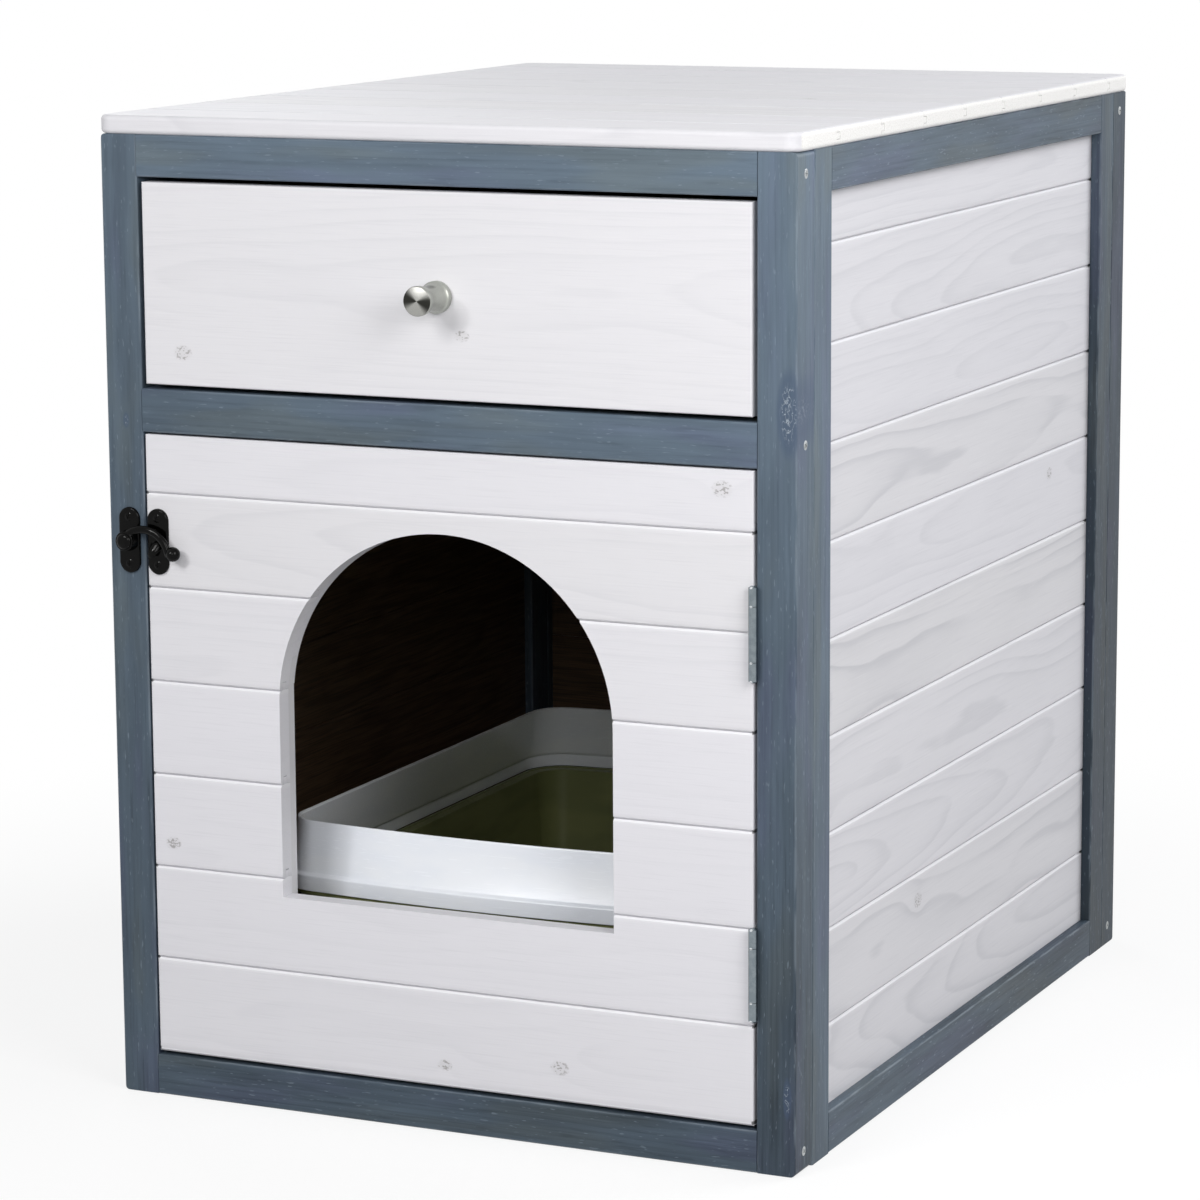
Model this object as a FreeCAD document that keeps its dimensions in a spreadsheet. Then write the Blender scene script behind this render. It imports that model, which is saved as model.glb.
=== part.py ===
"""Cat litter box cabinet: a framed and planked timber case with an arched door, a drawer and a loose tray.

The frame of reference: +X to the right, +Y to the back, +Z up, millimetres. The origin is at the bottom
centre of the whole cabinet's bounding box. Every size is a cell of the sheet "Sizes".
"""
import FreeCAD, Part
import math
import os
import re
import Sketcher

DOCUMENT = FreeCAD.newDocument("litter_box_cabinet")
SHEET = DOCUMENT.addObject("Spreadsheet::Sheet", "Sizes")
PIECES = []

# Driving dimensions: name of the cell, millimetres, what it measures.
SIZES = (
    # The carcase
    ("cabinet_width", 480, "outer faces of the front stiles"),
    ("cabinet_depth", 633, "front face of the front frame to back face of the rear frame"),
    ("frame_height", 633, "floor to the underside of the top"),
    ("front_y", -303, "front face of the front frame"),
    ("stile_face", 26, "stile, seen from the front"),
    ("stock_depth", 28, "depth of the frame timber"),
    ("rail_face", 27, "height of the top and bottom rails"),
    ("middle_rail_low", 442, "underside of the rail between drawer and door"),
    ("middle_rail_face", 28, "height of that rail"),
    ("arris", 0.8, "eased edge on every piece of frame timber"),
    ("stile_round", 3.5, "rounded outer corners of the front and rear frames"),
    # Tongued-and-grooved boards
    ("board_thick", 12, "thickness of every board"),
    ("board_cover", 61.8, "visible height of a plank, joint to joint"),
    ("board_bevel", 1.3, "bevel beside each joint"),
    ("joint_gap", 0.3, "gap left between two boards"),
    ("tongue_thick", 4, "thickness of a tongue"),
    ("tongue_long", 5, "length of a tongue"),
    ("tongue_fit", 0.3, "room round a tongue in its groove"),
    ("panel_recess", 7.4, "planks set back from the face of their frame"),
    ("panel_house", 5, "length of plank inside the frame's groove"),
    ("panel_groove", 6, "depth of the frame's groove"),
    ("panel_fit", 0.2, "room each side of a plank in that groove"),
    ("panel_first_joint", 78.6, "lowest joint of the side and rear planks"),
    # The top
    ("top_lip", 2, "overhang of the top all round"),
    ("top_corner", 10, "rounded corner of the top, seen from above"),
    ("top_round", 3, "rounded edge of the top"),
    ("top_first_board", 60.6, "front edge of the top to its first joint"),
    ("top_board_cover", 75, "visible width of a top board"),
    # The floor
    ("floor_top", 26, "upper face of the floor panel"),
    ("floor_thick", 8, "thickness of the floor panel"),
    ("floor_fit", 0.5, "room round the floor panel"),
    ("cleat", 12, "section of the floor cleats"),
    # The door
    ("door_gap_left", 1.5, "door to left stile"),
    ("door_gap_right", 2.2, "door to right stile, two hinge leaves"),
    ("door_gap_top", 1.5, "door to middle rail"),
    ("door_gap_bottom", 2.8, "door to bottom rail"),
    ("door_round", 1.2, "rounded edge of the door and drawer front"),
    ("door_first_joint", 93.6, "lowest joint of the door planks"),
    ("arch_radius", 117.5, "half the width of the way in"),
    ("arch_spring", 271, "height at which the arch starts"),
    ("arch_sill", 143.2, "lower edge of the way in"),
    ("batten_thick", 7.5, "thickness of the battens behind the planks"),
    ("batten_inset", 6, "batten ends to door edges"),
    ("top_batten_low", 281, "lower edge of the top batten"),
    ("stop_section", 15, "width of the door stop"),
    ("stop_deep", 18, "depth of the door stop"),
    ("stop_gap", 0.4, "door battens to door stop"),
    ("stop_low", 60, "lower end of the door stop"),
    ("stop_long", 350, "length of the door stop"),
    # The hinges
    ("hinge_long", 58, "length of a hinge"),
    ("lower_hinge", 98.5, "lower end of the lower hinge"),
    ("upper_hinge", 312, "lower end of the upper hinge"),
    ("leaf_thick", 1, "thickness of a hinge leaf"),
    ("leaf_wide", 17, "width of a hinge leaf"),
    ("barrel_radius", 2.9, "outside of a hinge barrel"),
    ("barrel_proud", 3.2, "hinge axis in front of the frame"),
    ("end_knuckle", 11.6, "length of a hinge's end knuckle"),
    ("knuckle_gap", 0.3, "gap between two knuckles"),
    ("pin_radius", 1.4, "hinge pin"),
    ("pin_tight", 0.02, "room round the pin in the frame leaf"),
    ("pin_free", 0.06, "room round the pin in the door leaf"),
    ("pin_cap", 1, "height of the pin's rounded ends"),
    ("hinge_screw_in", 10, "hinge end to its first screw"),
    ("hinge_screw_back", 9, "hinge screw behind the frame's face"),
    # The latch
    ("latch_x", 15, "latch plate's centre from the cabinet's left face"),
    ("latch_z", 371, "height of the latch"),
    ("plate_wide", 15, "latch plate and keeper"),
    ("plate_long", 43, "latch plate and keeper"),
    ("plate_thick", 2.2, "latch plate and keeper"),
    ("plate_step", 1.3, "thin edge of the latch plate and keeper"),
    ("keeper_x", 36.1, "keeper's centre from the cabinet's left face"),
    ("latch_screw_z", 15.3, "latch screw from the plate's centre"),
    ("hub_radius", 7, "lever's hub"),
    ("hub_front", 8.8, "lever's hub in front of the frame"),
    ("lever_clear", 0.2, "plate to lever"),
    ("pivot_radius", 2.5, "latch pivot"),
    ("pivot_free", 0.06, "room round the pivot in the lever"),
    ("pivot_cap_radius", 4.6, "head of the pivot"),
    ("pivot_cap", 1.8, "height of that head"),
    ("arm_back", 4.6, "back of the lever's arm, in front of the frame"),
    ("arm_thick", 3.8, "thickness of the arm"),
    ("arm_wide", 5.5, "height of the arm's section"),
    ("arm_radius", 18.5, "middle line of the curved arm"),
    ("arm_first", 8, "degrees, the arm's end in the ball"),
    ("arm_last", 140, "degrees, the arm's end in the hub"),
    ("arm_centre_x", 13, "arm's centre to the right of the hub"),
    ("arm_centre_z", -10.2, "arm's centre above the hub"),
    ("ball_radius", 5, "thumb piece"),
    ("ball_x", 36, "thumb piece to the right of the hub"),
    ("ball_z", -6.2, "thumb piece above the hub"),
    ("ball_front", 8.5, "thumb piece's centre in front of the frame"),
    ("horn_x", -1.5, "horn's foot from the keeper's centre"),
    ("horn_z", -4, "horn's foot from the keeper's centre"),
    ("horn_foot", 4.6, "radius of the horn's foot"),
    ("horn_tip", 1.6, "radius of the horn's tip"),
    ("horn_high", 5.4, "horn, out from the keeper"),
    # The drawer
    ("drawer_gap", 3.2, "drawer front to the frame, all round"),
    ("drawer_side_thick", 10, "thickness of the drawer's sides and back"),
    ("drawer_side_high", 100, "height of the drawer's sides"),
    ("drawer_long", 520, "length of the drawer's sides"),
    ("drawer_side_gap", 3.5, "drawer side to the inner face of the stiles"),
    ("drawer_bottom_thick", 4, "thickness of the drawer's bottom"),
    ("drawer_bottom_up", 6, "drawer bottom above the sides' lower edge"),
    ("drawer_groove", 5, "depth of the groove for the drawer bottom"),
    ("drawer_groove_fit", 0.2, "room round the drawer bottom in its groove"),
    ("runner_top", 472, "upper face of the drawer runners"),
    ("runner_wide", 20, "width of the runners and kickers"),
    ("runner_high", 17, "height of the runners and kickers"),
    ("runner_fit", 0.4, "drawer sides to runners and kickers"),
    ("shelf_thick", 6, "thickness of the shelf below the runners"),
    ("knob_reach", 29, "knob in front of the drawer"),
    ("knob_z", 537.7, "height of the knob"),
    ("knob_base_radius", 10.6, "knob's foot"),
    ("knob_waist_radius", 8.2, "knob's waist"),
    ("knob_head_radius", 9.9, "knob's head"),
    ("knob_base_high", 5, "straight part of the knob's foot"),
    ("knob_head_high", 4.5, "straight part of the knob's head"),
    ("knob_edge", 0.8, "bevel on the knob's edges"),
    ("knob_waist", 14.8, "narrowest place of the knob in front of the drawer"),
    ("knob_waist_curve", 18, "radius of the knob's hollow side"),
    ("knob_screw_radius", 2, "thread of the knob's screw"),
    ("knob_screw_deep", 14, "screw inside the knob"),
    ("knob_screw_head", 4.5, "radius of the knob screw's head"),
    ("knob_screw_cap", 2.6, "height of the knob screw's head"),
    # Wood screws
    ("frame_screw_head", 3, "head radius of the frame screws"),
    ("frame_screw_shank", 1.75, "shank radius of the frame screws"),
    ("frame_screw_long", 50, "length of the frame screws"),
    ("screw_rim", 0.3, "straight rim of a screw's head; the frame screws stand this proud"),
    ("small_screw_head", 2.5, "head radius of the hinge and latch screws"),
    ("small_screw_shank", 1.4, "shank radius of those screws"),
    ("small_screw_long", 14, "length of those screws"),
    ("bore_fit", 0.05, "room round a screw in its bore"),
    # The litter tray
    ("tray_half_wide", 157, "half the width of the spill rim"),
    ("tray_front", 46, "middle of the tray's front behind the frame's front face"),
    ("tray_long", 432, "length of the tray over the rim"),
    ("tray_bow", 1150, "radius of the bowed front and back"),
    ("tray_corner", 28, "radius of the tray's corners"),
    ("tray_wall", 2.6, "thickness of the tray's walls"),
    ("pan_foot_inset", 18, "pan's foot inside the rim's outline"),
    ("pan_lip_inset", 3, "pan's lip inside the rim's outline"),
    ("pan_top_inset", 9, "top of the pan's wall inside the rim's outline"),
    ("rim_low", 134, "lower edge of the spill rim"),
    ("rim_step", 145, "step in the spill rim"),
    ("rim_top", 180, "upper edge of the spill rim"),
    ("rim_step_inset", 3, "set-back at that step"),
    ("rim_top_inset", 8, "set-back of the upper edge"),
)
NAMES = frozenset(name for name, _, _ in SIZES)

LEFT = "-cabinet_width / 2"
RIGHT = "cabinet_width / 2"
BACK = "front_y + cabinet_depth"
INNER_LEFT = "-cabinet_width / 2 + stile_face"
INNER_RIGHT = "cabinet_width / 2 - stile_face"
SIDE_FRONT = "front_y + stock_depth"
SIDE_BACK = "front_y + cabinet_depth - stock_depth"


# ---------------------------------------------------------------- the sheet and its formulas

def fill_sheet():
    """Write each driving dimension beside its name and meaning."""
    for row, (name, millimetres, meaning) in enumerate(SIZES, start=1):
        SHEET.set(f"A{row}", name)
        SHEET.set(f"B{row}", str(millimetres))
        SHEET.set(f"C{row}", meaning)
        SHEET.setAlias(f"B{row}", name)
    DOCUMENT.recompute()


def size(formula):
    """The value of a formula on the sheet's names, in millimetres."""
    return float(SHEET.evalExpression(formula))


def bind(target, path, formula):
    """Tie a property to a formula on the sheet's names."""
    spelled = re.sub(r"[a-z_]+", lambda word: f"Sizes.{word[0]}" if word[0] in NAMES else word[0], formula)
    target.setExpression(path, spelled)


def place(target, corner, turn=None):
    """Set a piece at a corner given as three formulas, after an optional turn."""
    if turn is not None:
        target.Placement = FreeCAD.Placement(FreeCAD.Vector(), turn)
    for axis, formula in zip("xyz", corner):
        bind(target, f"Placement.Base.{axis}", formula)


def keep(piece, label):
    """Name a finished piece and list it for the output."""
    piece.Label = label
    PIECES.append(piece)
    return piece


# ---------------------------------------------------------------- ways of making a piece

def sketch_on(body, role, outline):
    """Draw a closed outline of (across, up) formulas on one of the body's own planes."""
    plane = next(item for item in body.Origin.OriginFeatures if item.Role == role)
    sketch = body.newObject("Sketcher::SketchObject", "section")
    sketch.AttachmentSupport = (plane, [""])
    sketch.MapMode = "FlatFace"
    points = [FreeCAD.Vector(size(across), size(up), 0) for across, up in outline]
    count = len(points)
    for index in range(count):
        sketch.addGeometry(Part.LineSegment(points[index], points[(index + 1) % count]))
    for index in range(count):
        sketch.addConstraint(Sketcher.Constraint("Coincident", index, 2, (index + 1) % count, 1))
    for index, formulas in enumerate(outline):
        for kind, formula, value in zip(("DistanceX", "DistanceY"), formulas, points[index]):
            number = sketch.addConstraint(Sketcher.Constraint(kind, -1, 1, index, 1, value))
            bind(sketch, f"Constraints[{number}]", formula)
    return sketch


def prism(role, outline, length, corner):
    """A straight piece: a section drawn out by a length, away from its plane."""
    body = DOCUMENT.addObject("PartDesign::Body", "straight")
    pad = body.newObject("PartDesign::Pad", "length")
    pad.Profile = sketch_on(body, role, outline)
    pad.Reversed = role == "XZ_Plane"
    bind(pad, "Length", length)
    body.Tip = pad
    place(body, corner)
    return body


def turned(profile, corner, direction):
    """A turned piece: a profile of (radius, along) formulas spun round a direction."""
    body = DOCUMENT.addObject("PartDesign::Body", "turned")
    sketch = sketch_on(body, "XZ_Plane", profile)
    spin = body.newObject("PartDesign::Revolution", "spin")
    spin.Profile = sketch
    spin.ReferenceAxis = (sketch, ["V_Axis"])
    spin.Angle = 360
    body.Tip = spin
    place(body, corner, FreeCAD.Rotation(FreeCAD.Vector(0, 0, 1), FreeCAD.Vector(*direction)))
    return body


def box(length, width, height, corner):
    """A plain block."""
    block = DOCUMENT.addObject("Part::Box", "block")
    for path, formula in (("Length", length), ("Width", width), ("Height", height)):
        bind(block, path, formula)
    place(block, corner)
    return block


def cylinder(radius, height, corner, direction=(0, 0, 1)):
    """A plain round bar."""
    bar = DOCUMENT.addObject("Part::Cylinder", "bar")
    bind(bar, "Radius", radius)
    bind(bar, "Height", height)
    place(bar, corner, FreeCAD.Rotation(FreeCAD.Vector(0, 0, 1), FreeCAD.Vector(*direction)))
    return bar


def eased(base, radius, chosen):
    """A piece with the edges rounded whose middle point the test chooses."""
    DOCUMENT.recompute()
    edges = enumerate(base.Shape.Edges, start=1)
    numbers = [number for number, edge in edges if chosen(edge.CenterOfMass)]
    rounded = DOCUMENT.addObject("Part::Fillet", "rounded")
    rounded.Base = base
    rounded.Edges = [(number, size(radius), size(radius)) for number in numbers]
    return rounded


def rounded_box(length, width, height, corner, radius, chosen):
    """A block with the chosen edges rounded."""
    return eased(box(length, width, height, corner), radius, chosen)


def frame_block(near, chosen):
    """The space of a whole front or rear frame, with the chosen edges rounded."""
    corner = (LEFT, near, "0")
    return rounded_box("cabinet_width", "stock_depth", "frame_height", corner, "stile_round", chosen)


def cut(base, tool):
    """Take the tool's space out of the base."""
    result = DOCUMENT.addObject("Part::Cut", "cut")
    result.Base = base
    result.Tool = tool
    return result


def common(base, tool):
    """Keep of the base what lies inside the tool."""
    result = DOCUMENT.addObject("Part::Common", "common")
    result.Base = base
    result.Tool = tool
    return result


def fused(pieces):
    """One solid out of several."""
    result = DOCUMENT.addObject("Part::MultiFuse", "fused")
    result.Shapes = pieces
    return result


def group(pieces):
    """Several separate solids that are handled together."""
    result = DOCUMENT.addObject("Part::Compound", "set")
    result.Links = pieces
    return result


# ---------------------------------------------------------------- sections of the timber

def bar_section(across, up):
    """A rectangle with its four corners eased."""
    return [("arris", "0"), (f"{across} - arris", "0"), (across, "arris"), (across, f"{up} - arris"),
            (f"{across} - arris", up), ("arris", up), ("0", f"{up} - arris"), ("0", "arris")]


def grooved_section(thick, up):
    """Frame timber, outer face at 0 across, with the groove for the planks in its upper side."""
    near = "panel_recess - panel_fit"
    far = "panel_recess + board_thick + panel_fit"
    deep = f"{up} - panel_groove"
    return [("arris", "0"), (f"{thick} - arris", "0"), (thick, "arris"), (thick, f"{up} - arris"),
            (f"{thick} - arris", up), (far, up), (far, deep), (near, deep), (near, up),
            ("arris", up), ("0", f"{up} - arris"), ("0", "arris")]


def board_section(low, high, grooved, tongued):
    """A board from joint to joint: face at 0 across, groove in its lower edge, tongue on its upper one."""
    tongue_near = "board_thick / 2 - tongue_thick / 2"
    tongue_far = "board_thick / 2 + tongue_thick / 2"
    groove_near = f"{tongue_near} - tongue_fit"
    groove_far = f"{tongue_far} + tongue_fit"
    groove_top = f"{low} + tongue_long + tongue_fit"
    edge = f"{high} - joint_gap" if tongued else high
    outline = [("0", f"{low} + board_bevel"), ("0", f"{edge} - board_bevel"), ("board_bevel", edge)]
    if tongued:
        tip = f"{edge} + tongue_long"
        outline += [(tongue_near, edge), (tongue_near, tip), (tongue_far, tip), (tongue_far, edge)]
    outline += [("board_thick", edge), ("board_thick", low)]
    if grooved:
        outline += [(groove_far, low), (groove_far, groove_top)]
        outline += [(groove_near, groove_top), (groove_near, low)]
    return outline + [("board_bevel", low)]


def mirrored(outline, across=None, up=None):
    """The same section turned over within a width, a height or both."""
    return [(f"{across} - ({x})" if across else x, f"{up} - ({y})" if up else y) for x, y in outline]


def swapped(outline):
    """The same section with across and up exchanged."""
    return [(up, across) for across, up in outline]


def board_edges(first, last, joints):
    """Pairs of formulas for the lower and upper edge of each board of a panel."""
    edges = [first] + joints + [last]
    return list(zip(edges[:-1], edges[1:]))


# ---------------------------------------------------------------- screws

def screw_profile(head, shank, long, grown="0"):
    """Countersunk wood screw as (radius, along) from the face of its head; grown, it is the screw's bore."""
    rim = "screw_rim"
    return [("0", "0"), (f"{head} + {grown}", "0"), (f"{head} + {grown}", rim),
            (f"{shank} + {grown}", f"{rim} + {head} - {shank}"),
            (f"{shank} + {grown}", f"{long} - {shank} + {grown}"), ("0", f"{long} + {grown}")]


def frame_screws(grown="0"):
    """One screw through each stile into each rail of the front and rear frames."""
    middle = "stock_depth / 2"
    low = "rail_face / 2"
    high = "frame_height - rail_face / 2"
    centre = "middle_rail_low + middle_rail_face / 2"
    front = [(f"front_y + {middle}", z) for z in (low, centre, high)]
    rear = [(f"{BACK} - {middle}", z) for z in (low, high)]
    profile = screw_profile("frame_screw_head", "frame_screw_shank", "frame_screw_long", grown)
    left = [turned(profile, (f"{LEFT} - screw_rim", y, z), (1, 0, 0)) for y, z in front + rear]
    right = [turned(profile, (f"{RIGHT} + screw_rim", y, z), (-1, 0, 0)) for y, z in front + rear]
    return group(left + right)


def small_screws(places, direction, grown="0"):
    """The short screws of the hinges and the latch, heads flush at the given places."""
    profile = screw_profile("small_screw_head", "small_screw_shank", "small_screw_long", grown)
    return group([turned(profile, at, direction) for at in places])


# ---------------------------------------------------------------- the front and rear frames

def build_front_frame(frame_bores, hinge_bores, latch_bores):
    """Two stiles and three rails; the rails butt between the stiles."""
    stile = bar_section("stile_face", "stock_depth")
    left = prism("XY_Plane", stile, "frame_height", (LEFT, "front_y", "0"))
    right = prism("XY_Plane", stile, "frame_height", (INNER_RIGHT, "front_y", "0"))
    depth_middle = size("front_y + stock_depth / 2")
    block = frame_block("front_y", lambda middle: abs(middle.y - depth_middle) < 1)
    keep(cut(common(left, block), group([frame_bores, latch_bores])), "front_left_stile")
    keep(cut(common(right, block), group([frame_bores, hinge_bores])), "front_right_stile")
    rails = (("front_bottom_rail", "0", "rail_face"),
             ("front_middle_rail", "middle_rail_low", "middle_rail_face"),
             ("front_top_rail", "frame_height - rail_face", "rail_face"))
    for label, low, high in rails:
        section = bar_section("stock_depth", high)
        rail = prism("YZ_Plane", section, "cabinet_width - 2 * stile_face", (INNER_LEFT, "front_y", low))
        keep(cut(rail, frame_bores), label)


def build_rear_frame(frame_bores):
    """Two stiles and two rails, grooved for the rear planks."""
    upright = mirrored(grooved_section("stock_depth", "stile_face"), across="stock_depth")
    left = prism("XY_Plane", swapped(upright), "frame_height", (LEFT, SIDE_BACK, "0"))
    turned_over = swapped(mirrored(upright, up="stile_face"))
    right = prism("XY_Plane", turned_over, "frame_height", (INNER_RIGHT, SIDE_BACK, "0"))
    rear_face = size(BACK)
    block = frame_block(SIDE_BACK, lambda middle: abs(middle.y - rear_face) < 1 and abs(middle.x) < 1)
    keep(cut(common(left, block), frame_bores), "rear_left_stile")
    keep(cut(common(right, block), frame_bores), "rear_right_stile")
    rail = mirrored(grooved_section("stock_depth", "rail_face"), across="stock_depth")
    long = "cabinet_width - 2 * stile_face"
    low = prism("YZ_Plane", rail, long, (INNER_LEFT, SIDE_BACK, "0"))
    high = prism("YZ_Plane", mirrored(rail, up="rail_face"), long,
                 (INNER_LEFT, SIDE_BACK, "frame_height - rail_face"))
    keep(cut(low, frame_bores), "rear_bottom_rail")
    keep(cut(high, frame_bores), "rear_top_rail")


# ---------------------------------------------------------------- the side frames and the planks

def build_side_frame(side):
    """Front and rear stile, top and bottom rail of one side, with the planks' groove inwards."""
    upright = grooved_section("stile_face", "stock_depth")
    level = grooved_section("stile_face", "rail_face")
    x = LEFT
    if side == "right":
        upright = mirrored(upright, across="stile_face")
        level = mirrored(level, across="stile_face")
        x = INNER_RIGHT
    keep(prism("XY_Plane", upright, "frame_height", (x, SIDE_FRONT, "0")), f"{side}_side_front_stile")
    keep(prism("XY_Plane", mirrored(upright, up="stock_depth"), "frame_height",
               (x, f"{SIDE_BACK} - stock_depth", "0")), f"{side}_side_rear_stile")
    long = "cabinet_depth - 4 * stock_depth"
    start = f"{SIDE_FRONT} + stock_depth"
    keep(prism("XZ_Plane", level, long, (x, start, "0")), f"{side}_side_bottom_rail")
    keep(prism("XZ_Plane", mirrored(level, up="rail_face"), long,
               (x, start, "frame_height - rail_face")), f"{side}_side_top_rail")


def panel_boards():
    """Sections of the ten planks between a bottom and a top rail, from the lowest up."""
    joints = [f"panel_first_joint + {index} * board_cover" for index in range(9)]
    edges = board_edges("rail_face - panel_house", "frame_height - rail_face + panel_house", joints)
    last = len(edges) - 1
    return [board_section(low, high, index > 0, index < last) for index, (low, high) in enumerate(edges)]


def build_side_planks(side):
    """Ten horizontal planks let into the side frame."""
    x = f"{LEFT} + panel_recess"
    sections = panel_boards()
    if side == "right":
        x = f"{RIGHT} - panel_recess - board_thick"
        sections = [mirrored(section, across="board_thick") for section in sections]
    long = "cabinet_depth - 4 * stock_depth + 2 * panel_house"
    corner = (x, f"{SIDE_FRONT} + stock_depth - panel_house", "0")
    keep(group([prism("XZ_Plane", section, long, corner) for section in sections]), f"{side}_side_planks")


def build_rear_planks():
    """Ten horizontal planks let into the rear frame."""
    sections = [mirrored(section, across="board_thick") for section in panel_boards()]
    long = "cabinet_width - 2 * stile_face + 2 * panel_house"
    corner = (f"{INNER_LEFT} - panel_house", f"{BACK} - panel_recess - board_thick", "0")
    keep(group([prism("YZ_Plane", section, long, corner) for section in sections]), "rear_planks")


# ---------------------------------------------------------------- top, floor and the drawer's carriers

def build_top():
    """Nine boards side to side, their outer edges rounded over as one slab."""
    long = "cabinet_width + 2 * top_lip"
    deep = "cabinet_depth + 2 * top_lip"
    corner = (f"{LEFT} - top_lip", "front_y - top_lip", "frame_height")
    middle_height = size("frame_height + board_thick / 2")
    block = rounded_box(long, deep, "board_thick", corner, "top_corner",
                        lambda middle: abs(middle.z - middle_height) < 1)
    slab = eased(block, "top_round", lambda middle: abs(middle.z - middle_height) > 1)
    joints = [f"top_first_board + {index} * top_board_cover" for index in range(8)]
    boards = []
    edges = board_edges("0", deep, joints)
    for index, (near, far) in enumerate(edges):
        section = board_section(near, far, index > 0, index < len(edges) - 1)
        upright = swapped(mirrored(section, across="board_thick"))
        boards.append(common(prism("YZ_Plane", upright, long, corner), slab))
    keep(boards[0], "top_front_board")
    keep(group(boards[1:-1]), "top_middle_boards")
    keep(boards[-1], "top_rear_board")


def build_floor():
    """The floor panel and the two cleats on the side rails that carry it."""
    wide = "cabinet_width - 2 * stile_face - 2 * floor_fit"
    deep = "cabinet_depth - 2 * stock_depth - 2 * floor_fit"
    corner = (f"{INNER_LEFT} + floor_fit", f"{SIDE_FRONT} + floor_fit", "floor_top - floor_thick")
    keep(box(wide, deep, "floor_thick", corner), "floor_panel")
    long = "cabinet_depth - 4 * stock_depth"
    start = f"{SIDE_FRONT} + stock_depth"
    low = "floor_top - floor_thick - cleat"
    section = bar_section("cleat", "cleat")
    sides = (INNER_LEFT, f"{INNER_RIGHT} - cleat")
    keep(group([prism("XZ_Plane", section, long, (x, start, low)) for x in sides]), "floor_cleats")


def build_drawer_carriers():
    """Runners under the drawer's sides, kickers above them, and the shelf under the runners."""
    section = bar_section("runner_wide", "runner_high")
    long = "cabinet_depth - 2 * stock_depth"
    kicker_low = "runner_top + drawer_side_high + 2 * runner_fit"
    for label, low in (("drawer_runners", "runner_top - runner_high"), ("drawer_kickers", kicker_low)):
        places = ((INNER_LEFT, SIDE_FRONT, low), (f"{INNER_RIGHT} - runner_wide", SIDE_FRONT, low))
        keep(group([prism("XZ_Plane", section, long, corner) for corner in places]), label)
    wide = "cabinet_width - 2 * stile_face - 2 * floor_fit"
    deep = "cabinet_depth - 2 * stock_depth - 2 * floor_fit"
    low = "runner_top - runner_high - shelf_thick"
    corner = (f"{INNER_LEFT} + floor_fit", f"{SIDE_FRONT} + floor_fit", low)
    keep(box(wide, deep, "shelf_thick", corner), "drawer_shelf")


def build_door_stop():
    """A batten on the left stiles that the closed door comes to rest on."""
    behind = "front_y + board_thick + batten_thick + stop_gap"
    section = bar_section("stop_section", "stop_deep")
    keep(prism("XY_Plane", section, "stop_long", (INNER_LEFT, behind, "stop_low")), "door_stop")


# ---------------------------------------------------------------- the door

DOOR_LEFT = "-cabinet_width / 2 + stile_face + door_gap_left"
DOOR_RIGHT = "cabinet_width / 2 - stile_face - door_gap_right"
DOOR_LOW = "rail_face + door_gap_bottom"
DOOR_HIGH = "middle_rail_low - door_gap_top"
DOOR_WIDE = "cabinet_width - 2 * stile_face - door_gap_left - door_gap_right"


def arch_space():
    """The way in: straight sides, a half-round head, cut through planks and battens."""
    start = "front_y - board_thick"
    through = "4 * board_thick"
    corner = ("-arch_radius", start, "arch_sill")
    straight = box("2 * arch_radius", through, "arch_spring - arch_sill", corner)
    head = cylinder("arch_radius", through, ("0", start, "arch_spring"), (0, 1, 0))
    return fused([straight, head])


def build_door(arch, bores):
    """Seven planks, rounded over round the edge of the door, on battens flush with the way in."""
    wide = DOOR_WIDE
    high = f"{DOOR_HIGH} - ({DOOR_LOW})"
    front = size("front_y")
    blank = rounded_box(wide, "board_thick", high, (DOOR_LEFT, "front_y", DOOR_LOW), "door_round",
                        lambda middle: abs(middle.y - front) < 0.01)
    joints = [f"door_first_joint + {index} * board_cover" for index in range(6)]
    edges = board_edges(DOOR_LOW, DOOR_HIGH, joints)
    openings = group([arch, bores])
    for index, (low, high) in enumerate(edges):
        section = board_section(low, high, index > 0, index < len(edges) - 1)
        plank = common(prism("YZ_Plane", section, wide, (DOOR_LEFT, "front_y", "0")), blank)
        keep(cut(plank, openings), f"door_plank_{index + 1}")
    behind = "front_y + board_thick"
    low = f"{DOOR_LOW} + batten_inset"
    long = f"{DOOR_HIGH} - ({DOOR_LOW}) - 2 * batten_inset"
    for label, x, batten_wide in (("door_left_batten", DOOR_LEFT, f"-arch_radius - ({DOOR_LEFT})"),
                                  ("door_right_batten", "arch_radius", f"{DOOR_RIGHT} - arch_radius")):
        keep(cut(box(batten_wide, "batten_thick", long, (x, behind, low)), bores), label)
    corner = ("-arch_radius", behind, "top_batten_low")
    top_high = f"{DOOR_HIGH} - batten_inset - top_batten_low"
    keep(cut(box("2 * arch_radius", "batten_thick", top_high, corner), openings), "door_top_batten")


# ---------------------------------------------------------------- the hinges

HINGE_X = "cabinet_width / 2 - stile_face - door_gap_right / 2"
HINGE_Y = "front_y - barrel_proud"
HINGES = ("lower_hinge", "upper_hinge")


def hinge_screw_places(x):
    """Two screws in each leaf of each hinge."""
    along = ("hinge_screw_in", "hinge_long - hinge_screw_in")
    return [(x, "front_y + hinge_screw_back", f"{low} + {up}") for low in HINGES for up in along]


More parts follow.
